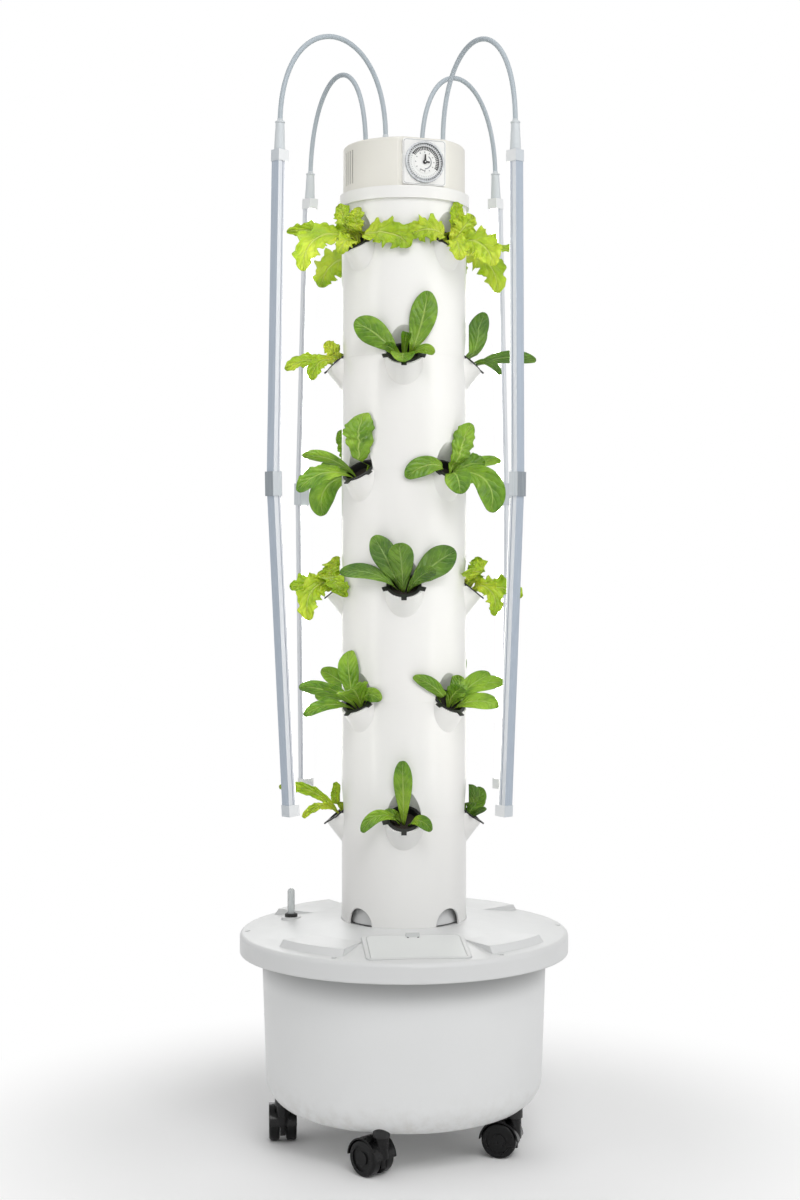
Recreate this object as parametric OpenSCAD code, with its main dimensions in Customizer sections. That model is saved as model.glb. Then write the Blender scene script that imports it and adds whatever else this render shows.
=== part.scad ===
// Hydroponic tower: a wheeled reservoir, stacked planting rings, and a head
// with a timer and four hanging lamps.
// Millimetres, +Z up, origin on the floor under the tower's axis, front toward -Y.

/* [Casters] */
// Radius of the circle of caster stems
caster_circle_r = 185; // [170:1:188]
// Bearing of the first caster
caster_bearing = -100; // [-120:1:-80]
// Height of a caster from the floor to its seat
caster_h = 58; // [57:0.5:64]
// Radius of a caster wheel
wheel_r = 26; // [22:0.5:26]
// Width of one wheel of the pair
wheel_w = 16; // [12:0.5:18]
// Distance from the stem's axis to the axle's axis
caster_trail = 20; // [16:0.5:22]
// Radius of the caster's stem
stem_r = 5.5; // [4:0.25:7]
// Length of the stem in its socket
stem_len = 30; // [20:1:36]

/* [Reservoir] */
// Outer radius of the tub at its rim
tub_rim_r = 217; // [212:1:222]
// Outer radius of the tub above its rounded bottom edge
tub_base_r = 210; // [204:1:212]
// Radius of the tub's bottom edge
tub_edge_r = 45; // [35:1:50]
// Height of the tub
tub_h = 248; // [225:1:280]
// Wall of the tub
tub_wall = 4; // [3:0.5:5]
// Radius of the lid
lid_r = 250; // [240:1:260]
// Height of the lid's edge above the tub's rim
lid_lift = 14; // [12:0.5:20]
// Rise of the lid from its edge to the tower's foot
lid_rise = 18; // [12:0.5:26]
// Depth of the lid's skirt
lid_skirt = 30; // [24:0.5:40]
// Wall of the lid
lid_wall = 4; // [3:0.5:5]
// Height of the four raised pads on the lid, at their outer edge
pad_h = 9; // [4:0.5:10]
// Angle through which the lid is turned on the tub
lid_turn = 5.5; // [-15:0.5:15]

/* [Hatch and gauge] */
// Width of the hatch
hatch_w = 136; // [110:1:142]
// Depth of the hatch, front to back
hatch_d = 96; // [80:1:100]
// Thickness of the hatch
hatch_t = 4; // [3:0.5:5]
// Distance of the hatch's middle outward from halfway between the tower and the lid's edge
hatch_shift = 2.5; // [-2:0.5:5]
// Clearance around the hatch
hatch_gap = 0.4; // [0.3:0.1:1]
// Distance of the level gauge inward from the tub's rim
gauge_inset = 37; // [35:1:52]
// Bearing of the level gauge
gauge_bearing = 166.5; // [155:0.5:178]
// Outer radius of the gauge's clear tube
gauge_r = 5.8; // [5:0.1:7]
// Height of the clear tube above its boss
gauge_h = 44; // [40:1:70]
// Travel of the float
float_travel = 40; // [25:1:40]

/* [Tower] */
// Outer radius of the tower
tower_r = 95; // [88:1:100]
// Wall of the tower
tower_wall = 3; // [2.5:0.25:4]
// Height of the foot
foot_h = 164; // [130:1:200]
// Height of one planting ring
ring_h = 172; // [150:1:200]
// Height of the neck below its collar
neck_h = 58; // [52:1:80]
// Radius of the neck's collar
collar_r = 99.5; // [98:0.5:106]
// Height of the neck's collar
collar_h = 18; // [12:1:24]
// Radius of the drain arches at the foot
arch_r = 24; // [16:1:28]
// Tilt of the planting pods from upright
pod_tilt = 38; // [34:1:42]
// Outer radius of a pod
pod_r = 28.5; // [27.5:0.25:30]
// Radius of a pod's bore
pod_bore_r = 24; // [23:0.25:24.5]
// Depth of a net cup
cup_depth = 50; // [36:1:56]
// Wall of a net cup
cup_wall = 1.6; // [1.2:0.1:2]
// Slots round a net cup
cup_slots = 8; // [6:1:10]

/* [Head] */
// Radius of the head
head_r = 93; // [90:0.5:95]
// Height of the head
head_h = 74; // [70:1:100]
// Wall of the head
head_wall = 3; // [2:0.5:4]
// Angle through which the head is turned
head_turn = 20; // [-30:1:30]
// Distance of the head's flat facet from the tower's axis
facet_d = 83.6; // [80:0.2:86]
// Side of the timer's square plate
timer_side = 68; // [66:1:69]
// Radius of the timer's turning dial
dial_r = 27.4; // [25:0.1:28]
// Tappets round the dial
tappet_count = 48; // [24:1:60]

/* [Lamps] */
// Distance of the farthest lamp from the tower's axis
lamp_far = 250; // [246:1:265]
// Height of the lamps' upper ends above the floor
lamp_top = 1470; // [1440:1:1480]
// Length of one lamp half
baton_len = 478; // [420:1:500]
// Width of the lamp housing
baton_w = 15; // [14:0.5:16]
// Rise of the arms above their sockets
arm_rise = 136; // [110:1:160]
// Radius of an arm
arm_r = 3.5; // [3:0.1:4.2]
// Distance of the arm sockets from the tower's axis
socket_reach = 65; // [60:0.5:68]

/* [Hidden] */
$fn = 48;

// Clearances: a running fit, a loose seat and the overlap of joined shapes
run_gap = 0.06;
seat_gap = 0.3;
weld = 1;

// Pieces that repeat
caster_count = 5;
ring_count = 5;

// Heights, from the floor up
tub_z = caster_h;
tub_top = tub_z + tub_h;
lid_edge_z = tub_top + lid_lift;
lid_foot_z = lid_edge_z + lid_rise;
skirt_z = lid_edge_z - lid_skirt;
foot_recess = 2;
foot_z = lid_foot_z - foot_recess;
neck_z = seam(ring_count);
collar_z = neck_z + neck_h;
head_z = collar_z + collar_h;
head_top = head_z + head_h;
function seam(k) = foot_z + foot_h + k * ring_h;

// Casters
axle_r = 4;
web_t = 8;
wheel_gap = 0.8;
hood_gap = 1.5;
hood_t = 2;
hood_r = wheel_r + hood_gap + hood_t;
pair_w = web_t + 2 * wheel_gap + 2 * wheel_w;
boss_r = stem_r + 7;
swivel_r = boss_r - 2;
stem_roof = 4;
stem_low = 13;
web_r = wheel_r - 6;
tread_r = 4;
hub_r = 10;
dish_w = 8;
dish_depth = 2;
// Headings in which the casters stand
caster_heading = [135, 165, 150, 120, 95];
function caster_angle(i) = caster_bearing + i * 360 / caster_count;

// Lid
lid_edge_r = 7;
rim_w = 6;
rim_t = 4;
well_r = 70;
lid_flat_r = tower_r + 2;
lid_slope = lid_rise / (lid_r - lid_edge_r - lid_flat_r);
function lid_top(r) = lid_foot_z - (r - lid_flat_r) * lid_slope;
lid_tilt = atan(lid_slope);
rib_depth = 8;
rib_w = 3;
rib_gap = 0.5;
rim_seat = 2;
hub_h = 14;
hub_wall = 4;
spoke_w = 5;
pad_bevel = 8;
pad_start = 55;
pad_margin = 18;
pad_inner_r = lid_flat_r + pad_start;
pad_outer_r = lid_r - pad_margin;
pad_from = 27.5;
pad_span = 29.5;
dimple_r = 4;
dimple_depth = 1.5;
dimple_margin = 12;
dimple_reach = lid_r - dimple_margin;

// Hatch, in a frame at its middle that slopes with the lid
hatch_reach = (tower_r + lid_r) / 2 + hatch_shift;
hatch_rest = 0.6;
hatch_frame = 7;
hatch_ledge = 5;
hatch_r = 10;
frame_depth = 7;
hinge_r = hatch_t / 2;
hinge_pin_r = 1.2;
hinge_pin_len = 3;
tab_w = 20;
tab_d = 9;
tab_h = 4;

// Level gauge
gauge_reach = tub_rim_r - gauge_inset;
gauge_boss_r = 15;
gauge_boss_h = 3;
gauge_z = lid_top(gauge_reach) + gauge_boss_h;
gauge_wall = 1.2;
gauge_below = 34;
grommet_r = 9.8;
grommet_neck_r = 8;
grommet_h = 5;
grommet_bevel = 1.2;
rod_r = 2;
bead_gap = 0.6;
bead_r = gauge_r - gauge_wall - bead_gap;
bead_h = 8;
guide_h = 4;
float_r = 18;
float_h = 32;
float_spare = 20;
float_drop = float_travel + float_spare;

// Tower
cup_rim_t = 2;
cup_rim_w = 2;
cup_rim_r = pod_bore_r + cup_rim_w;
scoop_r = cup_rim_r + seat_gap;
pod_root = 3;
pod_len = (pod_r * cos(pod_tilt) + tower_wall) / sin(pod_tilt) + pod_root;
scoop_over = 8;
scoop_len = 2 * pod_r / sin(pod_tilt) + scoop_over;
bore_over = 14;
bore_len = cup_depth + bore_over;
spigot_h = 12;
spigot_t = 2.3;
spigot_gap = 0.2;
cup_gap = 0.5;
cup_top_r = pod_bore_r - cup_gap;
cup_draft = 5.5;
cup_foot_r = cup_top_r - cup_draft;
cup_floor = 2;
lug_len = 7;
lug_w = 8;
lug_spread = 75;
slot_w = 5;
slot_floor = 4;
slot_roof = 11;
arch_lift = 3;
plug_sink = 8;
plug_gap = 0.6;
function pod_angle(k) = (k % 2 == 0) ? -90 : -135;

// Head
head_edge_r = 4;
collar_floor = 6;
ring_lip_h = 8;
ring_lip_t = 3;
vent_count = 4;
vent_first = 76;
vent_step = 4.5;
vent_w = 2;
vent_h = 50;
timer_lip = 6;
timer_box = timer_side - 2 * timer_lip;
timer_box_d = 26;
timer_plate_t = 5;
timer_corner = 4;
bezel_t = 2.6;
bezel_h = 3;
dial_gap = 0.4;
dial_floor = 2;
dial_t = 4;
face_r = 17;
face_z = 6.5;
tappet_len = 3;
tappet_share = 0.6;
post_r = 1.5;
post_top_r = 1;
hand_t = 0.8;
hour_len = 8;
hour_w = 3;
hour_hub_r = 3;
minute_len = 11;
minute_w = 2.8;
minute_hub_r = 2.2;
driver_size = [62, 40, 26];

// Pump and riser
riser_r = 12.5;
riser_wall = 2;
pump_size = [90, 70, 60];
pump_foot_h = 4;
pump_foot_r = 8;
pump_corner = 8;
pump_z = tub_z + tub_wall + pump_foot_h;
pump_top = pump_z + pump_size.z;
outlet_h = 25;
outlet_bore_r = 6;
impeller_r = 18;
impeller_len = 12;
impeller_hub_r = 5;
chamber_gap = 2;
vane_count = 6;
vane_t = 2;
shaft_r = 2;
shaft_len = 15;
strainer_d = 14;
strainer_wall = 2.5;
strainer_margin = 5;
strainer_slots = 7;
strainer_slot = [3, 35];
spray_r = 46;
spray_t = 8;
spray_drop = 22;
spray_z = collar_z - spray_drop;
jet_count = 8;
jet_r = 2.5;

// Lamps: bearings, how much nearer than the farthest each hangs, the outward lean of the upper
// halves and the inward lean of the lower halves
lamp_bearing = [-135.5, -47.6, 49.6, 131.2];
lamp_nearer = [0, 13, 20, 18];
lean_upper = [1.2, 0.3, 2, 2.4];
lean_lower = [3.6, 3, 0.5, 1];
lamp_reach = [for (near = lamp_nearer) lamp_far - near];
ferrule_r = 7;
ferrule_h = 5;
socket_pin_r = 4.5;
socket_wall = 4;
socket_depth = 14;
plug_h = 38;
plug_r = 8;
plug_top_r = 6.3;
plug_flange_r = 7.2;
plug_flange_h = 3;
lamp_cap_h = 16.5;
lamp_cap_lip = 1;
lamp_cap_w = baton_w + 2 * lamp_cap_lip;
housing_back = 8;
housing_front = -5;
diffuser_step = 0.7;
diffuser_sink = 2;
diffuser_r = baton_w / 2 - diffuser_step;
diffuser_mid = housing_front + diffuser_sink;
cap_step = 0.7;
cap_front = diffuser_mid - diffuser_r - cap_step;
cap_back = housing_back + cap_step;
baton_gap = 1.6;
groove = 1;
sleeve_h = 35;
sleeve_wall = 1;
sleeve_clear = 2;
sleeve_side_gap = 0.3;
sleeve_kink_gap = 0.9;
arm_sides = 10;
arm_rings = 30;
socket_turn = [-45, 45, 135, 225];

// Shared shapes
module rounded_square(size, r) {
    square([size.x - 2 * r, size.y], center = true);
    square([size.x, size.y - 2 * r], center = true);
    for (x = [-1, 1], y = [-1, 1])
        translate([x * (size.x / 2 - r), y * (size.y / 2 - r)]) circle(r);
}

module tube(r, wall, h) {
    difference() {
        cylinder(r = r, h = h);
        translate([0, 0, -weld]) cylinder(r = r - wall, h = h + 2 * weld);
    }
}

// Closed skin over rings of points that all have the same number of points. A thin blade's two faces
// are cut into triangles the same way, from its edges to its midrib, so that they can't cross.
module loft(rings, blade = false) {
    n = len(rings[0]);
    m = len(rings);
    points = [for (ring = rings) each ring];
    sides = [for (i = [0:m - 2], j = [0:n - 1], half = [0, 1])
        let (a = i * n + j, b = i * n + (j + 1) % n, swap = blade && j % 2 == 1)
        half == 0 ? [a, swap ? a + n : b + n, b] : [swap ? b : a, a + n, b + n]];
    first = [for (j = [1:n - 2]) [0, j, j + 1]];
    last = [for (j = [1:n - 2]) [(m - 1) * n, (m - 1) * n + j + 1, (m - 1) * n + j]];
    polyhedron(points, concat(sides, first, last));
}

// Casters: local +X runs from the stem to the axle, the axle lies along Y
module at_caster(i) {
    rotate([0, 0, caster_angle(i)]) translate([caster_circle_r, 0, 0])
        rotate([0, 0, caster_heading[i] - caster_angle(i)]) children();
}

module across(h) {
    translate([caster_trail, 0, wheel_r]) rotate([90, 0, 0]) translate([0, 0, -h / 2]) children();
}

module caster_hood(i) {
    color("#1b1b1d") at_caster(i) difference() {
        union() {
            intersection() {
                across(pair_w) cylinder(r = hood_r, h = pair_w);
                translate([caster_trail - hood_r, -pair_w / 2, wheel_r + hood_gap])
                    cube([2 * hood_r, pair_w, hood_r]);
            }
            across(web_t) cylinder(r = web_r, h = web_t);
            translate([0, 0, wheel_r + hood_gap])
                cylinder(r = swivel_r, h = caster_h - wheel_r - hood_gap - seat_gap);
            cylinder(r = stem_r, h = caster_h + stem_len - seat_gap);
        }
        for (side = [-1, 1]) translate([0, side * (web_t + 2 * hood_r) / 2, 0])
            across(2 * hood_r) cylinder(r = wheel_r + hood_gap, h = 2 * hood_r);
        translate([0, 0, -weld]) cylinder(r = stem_r + weld, h = stem_low + weld);
        across(2 * web_t) cylinder(r = axle_r + run_gap, h = 2 * web_t);
    }
}

module wheel_profile() {
    difference() {
        union() {
            square([wheel_r - tread_r, wheel_w]);
            translate([0, tread_r]) square([wheel_r, wheel_w - 2 * tread_r]);
            for (y = [tread_r, wheel_w - tread_r]) translate([wheel_r - tread_r, y]) circle(tread_r);
        }
        translate([hub_r, wheel_w - dish_depth]) square([dish_w, dish_depth + weld]);
    }
}

module caster_wheels(i) {
    color("#141416") at_caster(i) across(0) {
        cylinder(r = axle_r, h = web_t + 2 * wheel_gap + 2 * weld, center = true);
        for (side = [0, 1]) mirror([0, 0, side])
            translate([0, 0, web_t / 2 + wheel_gap]) rotate_extrude() wheel_profile();
    }
}

// Reservoir
module tub_outline(inset) {
    edge = tub_edge_r - inset;
    polygon([
        [0, inset],
        [tub_base_r - tub_edge_r, inset],
        [tub_base_r - inset, tub_edge_r],
        [tub_rim_r - inset, tub_h + (inset > 0 ? weld : 0)],
        [0, tub_h + (inset > 0 ? weld : 0)]
    ]);
    translate([tub_base_r - tub_edge_r, tub_edge_r]) circle(edge);
}

module reservoir_tub() {
    color("#eceded") difference() {
        union() {
            translate([0, 0, tub_z]) rotate_extrude() {
                difference() {
                    tub_outline(0);
                    tub_outline(tub_wall);
                }
                translate([tub_rim_r - tub_wall, tub_h - rim_t]) square([tub_wall + rim_w, rim_t]);
            }
            for (i = [0:caster_count - 1]) at_caster(i)
                translate([0, 0, tub_z]) cylinder(r = boss_r, h = stem_len + stem_roof);
        }
        for (i = [0:caster_count - 1]) at_caster(i)
            translate([0, 0, tub_z - weld]) cylinder(r = stem_r + run_gap, h = stem_len + weld);
    }
}

module lid_outline(inset) {
    polygon([
        [well_r - (inset > 0 ? weld : 0), skirt_z - inset],
        [well_r - (inset > 0 ? weld : 0), lid_foot_z - inset],
        [lid_flat_r, lid_foot_z - inset],
        [lid_r - lid_edge_r, lid_edge_z - inset],
        [lid_r - inset, lid_edge_z - lid_edge_r],
        [lid_r - inset, skirt_z - inset]
    ]);
    translate([lid_r - lid_edge_r, lid_edge_z - lid_edge_r]) circle(lid_edge_r - inset);
}

// A pad grows out of the slope towards the lid's edge, so its top is nearly level
module lid_pad() {
    rotate_extrude(angle = pad_span) polygon([
        [pad_inner_r, lid_top(pad_inner_r) - weld],
        [pad_outer_r - pad_bevel, lid_top(pad_outer_r - pad_bevel) + pad_h],
        [pad_outer_r, lid_top(pad_outer_r) - weld]
    ]);
}

// Frame at the hatch's middle: X to the right, Y up the slope, Z out of the lid
module at_hatch() {
    rotate([0, 0, lid_turn]) translate([0, -hatch_reach, lid_top(hatch_reach) + hatch_rest])
        rotate([lid_tilt, 0, 0]) children();
}

module lid_turned() {
    rotate([0, 0, -90 + lid_turn]) children();
}

module reservoir_lid() {
    frame_size = [hatch_w + 2 * hatch_frame, hatch_d + 2 * hatch_frame];
    color("#eeeeee") difference() {
        union() {
            rotate_extrude() {
                difference() {
                    lid_outline(0);
                    lid_outline(lid_wall);
                }
                translate([well_r, lid_foot_z - hub_h]) square([hub_wall, hub_h]);
                translate([tub_rim_r - rim_seat, tub_top])
                    square([rim_w, lid_top(tub_rim_r + rim_w) - lid_wall / 2 - tub_top]);
                translate([tub_rim_r - tub_wall - rib_gap - rib_w, tub_top - rib_depth])
                    square([rib_w, lid_top(tub_rim_r) - lid_wall / 2 - tub_top + rib_depth]);
            }
            for (side = [0, 180]) lid_turned() rotate([0, 0, side]) {
                rotate([0, 0, pad_from]) lid_pad();
                rotate([0, 0, -pad_from - pad_span]) lid_pad();
            }
            at_hatch() translate([0, 0, -frame_depth]) linear_extrude(frame_depth)
                rounded_square(frame_size, hatch_r);
            rotate([0, 0, gauge_bearing]) translate([gauge_reach, 0, gauge_z - 2 * gauge_boss_h])
                cylinder(r = gauge_boss_r, h = 2 * gauge_boss_h);
            translate([0, 0, lid_foot_z - hub_h])
                tube(riser_r + seat_gap + hub_wall, hub_wall, hub_h - lid_wall);
            for (a = [0:90:270]) lid_turned() rotate([0, 0, a + 45])
                translate([riser_r + hub_wall / 2, -spoke_w / 2, lid_foot_z - hub_h])
                    cube([well_r - riser_r, spoke_w, hub_h - lid_wall]);
        }
        translate([0, 0, foot_z]) cylinder(r = tower_r + seat_gap, h = lid_rise + pad_h);
        for (a = [30:60:330]) lid_turned() rotate([0, 0, a])
            translate([dimple_reach, 0, lid_top(dimple_reach) - dimple_depth])
                cylinder(r = dimple_r, h = pad_h + dimple_depth);
        at_hatch() {
            translate([0, 0, -hatch_t - seat_gap]) linear_extrude(frame_depth)
                rounded_square([hatch_w + 2 * hatch_gap, hatch_d + 2 * hatch_gap], hatch_r);
            translate([0, 0, -hatch_t - seat_gap]) hinge_band(hatch_gap, frame_depth);
            translate([0, 0, -2 * frame_depth]) linear_extrude(3 * frame_depth)
                rounded_square([hatch_w - 2 * hatch_ledge, hatch_d - 2 * hatch_ledge], hatch_r);
            hinge_axis() cylinder(r = hinge_pin_r + run_gap,
                h = hatch_w + 2 * hinge_pin_len + 2 * seat_gap, center = true);
        }
        rotate([0, 0, gauge_bearing]) translate([gauge_reach, 0, gauge_z - 3 * gauge_boss_h])
            cylinder(r = grommet_neck_r + run_gap, h = 4 * gauge_boss_h);
    }
}

// Square front corners beside the hatch's hinge
module hinge_band(grow, h) {
    translate([-hatch_w / 2 - grow, -hatch_d / 2 - grow, 0])
        cube([hatch_w + 2 * grow, hatch_r + grow, h]);
}

module hinge_axis() {
    translate([0, -hatch_d / 2 + hinge_r, -hatch_t / 2]) rotate([0, 90, 0]) children();
}

module access_hatch() {
    color("#e4e5e4") at_hatch() {
        difference() {
            translate([0, 0, -hatch_t]) union() {
                linear_extrude(hatch_t) rounded_square([hatch_w, hatch_d], hatch_r);
                hinge_band(0, hatch_t);
            }
            translate([-hatch_w, -hatch_d / 2 - weld, -hatch_t - weld])
                cube([2 * hatch_w, hinge_r + weld, hatch_t + 2 * weld]);
        }
        hinge_axis() {
            cylinder(r = hinge_r, h = hatch_w, center = true);
            cylinder(r = hinge_pin_r, h = hatch_w + 2 * hinge_pin_len, center = true);
        }
        translate([-tab_w / 2, hatch_d / 2 - tab_d, -weld]) difference() {
            cube([tab_w, tab_d, tab_h + weld]);
            translate([-weld, -weld, weld]) rotate([atan(tab_h / tab_d), 0, 0])
                cube([tab_w + 2 * weld, 2 * tab_d, 2 * tab_h]);
        }
    }
}

// Level gauge
module at_gauge() {
    rotate([0, 0, gauge_bearing]) translate([gauge_reach, 0, gauge_z]) children();
}

module level_grommet() {
    color("#1a1a1a") at_gauge() difference() {
        union() {
            cylinder(r = grommet_r, h = grommet_h - grommet_bevel);
            translate([0, 0, grommet_h - grommet_bevel])
                cylinder(r1 = grommet_r, r2 = grommet_r - grommet_bevel, h = grommet_bevel);
            translate([0, 0, -gauge_boss_h]) cylinder(r = grommet_neck_r, h = gauge_boss_h + weld);
        }
        translate([0, 0, -2 * gauge_boss_h]) cylinder(r = gauge_r + run_gap, h = 4 * gauge_boss_h);
    }
}

module gauge_outline(r, low) {
    intersection() {
        union() {
            translate([0, low]) square([r, gauge_h - gauge_r - low]);
            translate([0, gauge_h - gauge_r]) circle(r);
        }
        translate([0, low]) square([r, gauge_h - low]);
    }
}

module level_tube() {
    color("#dfe6e6", 0.5) at_gauge() rotate_extrude() difference() {
        gauge_outline(gauge_r, -gauge_below);
        gauge_outline(gauge_r - gauge_wall, -gauge_below + guide_h);
        translate([0, -gauge_below - weld]) square([rod_r + run_gap, guide_h + 2 * weld]);
    }
}

module level_float() {
    bead_z = -gauge_below + guide_h + seat_gap;
    color("#d9dcdc") at_gauge() {
        translate([0, 0, bead_z]) cylinder(r = bead_r, h = bead_h);
        translate([0, 0, bead_z - float_drop]) cylinder(r = rod_r, h = float_drop + weld);
        translate([0, 0, bead_z - float_drop - float_h + weld]) cylinder(r = float_r, h = float_h);
    }
}

// Planting tower
// Frame at a pod's mouth: Z along the pod's axis, out of the mouth
module at_pod(k, i) {
    translate([0, 0, seam(k)]) rotate([0, 0, pod_angle(k) + 90 * i])
        translate([tower_r, 0, 0]) rotate([0, pod_tilt, 0]) children();
}

// Lower halves of the pods, on the piece below a seam
module pod_skins(k) {
    intersection() {
        for (i = [0:3]) at_pod(k, i) translate([0, 0, -pod_len]) cylinder(r = pod_r, h = pod_len);
        translate([0, 0, seam(k) - 2 * pod_len])
            tube(2 * tower_r, tower_r + tower_wall, 2 * pod_len);
    }
}

module pod_bores(k) {
    for (i = [0:3]) at_pod(k, i)
        translate([0, 0, -bore_len]) cylinder(r = pod_bore_r, h = bore_len + weld);
}

// Hollow scoops above the pods, on the piece above a seam
module scoop_skins(k) {
    intersection() {
        for (i = [0:3]) at_pod(k, i)
            translate([0, 0, -pod_len]) cylinder(r = pod_r, h = pod_len + scoop_len);
        translate([0, 0, seam(k)]) cylinder(r = tower_r, h = scoop_len);
    }
}

module scoop_bores(k) {
    for (i = [0:3]) at_pod(k, i) cylinder(r = scoop_r, h = scoop_len);
}

// Ring that drops into the piece below, cut away at the pods
module spigot(k) {
    inner_r = tower_r - tower_wall;
    difference() {
        translate([0, 0, seam(k)]) rotate_extrude() polygon([
            [inner_r - spigot_gap - spigot_t, -spigot_h],
            [inner_r - spigot_gap, -spigot_h],
            [inner_r - spigot_gap, 0],
            [inner_r + weld, 0],
            [inner_r + weld, spigot_t],
            [inner_r - spigot_gap - spigot_t, 0]
        ]);
        for (i = [0:3]) at_pod(k, i)
            translate([0, 0, -2 * pod_len]) cylinder(r = pod_r + seat_gap, h = 4 * pod_len);
    }
}

module tower_foot() {
    color("#f1efea") difference() {
        union() {
            translate([0, 0, foot_z]) tube(tower_r, tower_wall, foot_h);
            pod_skins(0);
        }
        pod_bores(0);
        for (a = [45, 135]) translate([0, 0, foot_z + arch_lift]) rotate([0, 0, a]) rotate([90, 0, 0])
            cylinder(r = arch_r, h = 3 * tower_r, center = true);
    }
}

module tower_ring(n) {
    color("#f1efea") difference() {
        union() {
            translate([0, 0, seam(n - 1)]) tube(tower_r, tower_wall, ring_h);
            scoop_skins(n - 1);
            spigot(n - 1);
            pod_skins(n);
        }
        pod_bores(n - 1);
        scoop_bores(n - 1);
        pod_bores(n);
    }
}

module tower_neck() {
    color("#f1efea") difference() {
        union() {
            translate([0, 0, neck_z]) tube(tower_r, tower_wall, neck_h + weld);
            scoop_skins(ring_count);
            spigot(ring_count);
            translate([0, 0, collar_z]) tube(collar_r, collar_r - tower_r + tower_wall, collar_h);
            translate([0, 0, head_z - collar_floor]) cylinder(r = tower_r, h = collar_floor);
            difference() {
                translate([0, 0, head_z - weld])
                    tube(head_r - head_wall - seat_gap, ring_lip_t, ring_lip_h + weld);
                at_head() translate([-head_r, -head_r - facet_d + head_wall + weld, -2 * weld])
                    cube([2 * head_r, head_r, 2 * ring_lip_h]);
            }
        }
        pod_bores(ring_count);
        scoop_bores(ring_count);
    }
}

// Net cup, in a pod's frame
module net_cup() {
    difference() {
        union() {
            rotate_extrude() polygon([
                [0, -cup_depth],
                [cup_foot_r, -cup_depth],
                [cup_top_r, 0],
                [cup_rim_r, 0],
                [cup_rim_r, cup_rim_t],
                [cup_top_r - cup_wall, cup_rim_t],
                [cup_foot_r - cup_wall, -cup_depth + cup_floor],
                [0, -cup_depth + cup_floor]
            ]);
            for (a = [-lug_spread, 0, lug_spread]) rotate([0, 0, a])
                translate([cup_rim_r - weld, -lug_w / 2, 0])
                    cube([lug_len + weld, lug_w, cup_rim_t]);
        }
        for (i = [0:cup_slots - 1]) rotate([0, 0, (i + 0.5) * 360 / cup_slots])
            translate([cup_foot_r / 2, -slot_w / 2, slot_floor - cup_depth])
                cube([cup_depth, slot_w, cup_depth - slot_floor - slot_roof]);
    }
}

module net_cups(rows) {
    color("#1c1c1c") for (k = rows, i = [0:3]) at_pod(k, i) net_cup();
}

module grow_plugs() {
    height = cup_depth - cup_floor - plug_sink;
    low_r = cup_foot_r - cup_wall - plug_gap;
    color("#5b4636") for (k = [0:ring_count], i = [0:3]) at_pod(k, i)
        translate([0, 0, -cup_depth + cup_floor])
            cylinder(r1 = low_r, r2 = low_r + cup_draft * height / cup_depth, h = height);
}

// Plants. A leaf is [bearing from straight out, first and last elevation, length, width, ruffle, roll].
leaf_stations = 6;
leaf_t = 1.4;
leaf_cup = 0.18;
leaf_clear = 4;
leaf_root_r = 17;
leaf_twist = 0.35;
stalk_w = 4;
scoop_zone = 12;
scoop_half_w = 17;
ruffled_left = [[-65, 76, 49, 72, 29, 4, -64], [-37, 38, -13, 108, 23, 4, 52],
    [-17, 50, -100, 130, 40, 4, -57], [12, 50, -88, 63, 25, 3, -40], [131, 75, 93, 52, 25, 3, -69],
    [105, 43, -63, 85, 40, 4, 71]];
ruffled_right = [[159, 64, 82, 63, 21, 2, -15], [-105, 55, -46, 69, 37, 4, -78],
    [23, 60, 41, 58, 33, 4, -59], [14, 39, -88, 94, 43, 4, 70], [-23, 50, -114, 67, 29, 3, 23]];
pair = [[74, 64, 83, 104, 40, 0, -71], [-75, 57, 18, 87, 40, 0, 78], [-2, 52, -68, 51, 35, 0, -1],
    [46, 54, -43, 59, 17, 0, 60], [6, 85, -15, 66, 15, 0, -13], [-42, 56, 1, 42, 16, 0, 53]];
lime_side = [[0, 70, 40, 46, 24, 2, -72], [6, 38, -41, 89, 23, 2, -62], [30, 52, -100, 72, 23, 2, -56],
    [-63, 80, 61, 34, 15, 2, -23]];
dark_side = [[-3, 74, 67, 88, 31, 0, -78], [-4, 32, -18, 106, 21, 0, -63], [-20, 45, -71, 63, 13, 0, 54]];
curled = [[134, 58, 97, 92, 45, 1.5, -80], [-41, 52, -8, 91, 19, 0, 62],
    [-30, 34, -60, 99, 28, 1.5, -76], [-66, 48, -14, 62, 17, 1.5, -69]];
broad = [[-110, 48, -65, 73, 31, 0, -69], [39, 78, 56, 86, 33, 1.5, -76], [55, 56, -13, 58, 30, 1.5, 79],
    [22, 40, -120, 109, 41, 0, 67], [-26, 43, -96, 71, 39, 0, 26]];
fan = [[-76, 71, 56, 91, 37, 0, 76], [-10, 78, 47, 83, 38, 0, 11], [80, 56, 25, 92, 43, 0, -84],
    [-92, 49, -16, 94, 27, 0, -57], [41, 56, 1, 72, 22, 0, -59]];
frill_left = [[-43, 79, 63, 56, 30, 4, -44], [10, 39, -26, 80, 32, 4, -63],
    [36, 55, -126, 109, 33, 4, -59], [91, 78, -103, 76, 35, 4, 1]];
frill_right = [[-111, 78, -27, 64, 34, 4, 48], [30, 66, 63, 59, 25, 4, 48], [-5, 35, -41, 87, 32, 4, 61],
    [-32, 53, -126, 87, 25, 4, 54]];
bushy = [[-78, 84, 85, 83, 31, 0, -57], [-45, 46, -6, 93, 24, 0, 72], [-31, 30, -42, 82, 19, 0, -61],
    [29, 64, -15, 77, 45, 1.5, 25], [119, 70, -50, 51, 22, 0, 72], [-21, 52, 13, 68, 16, 0, 62]];
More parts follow.
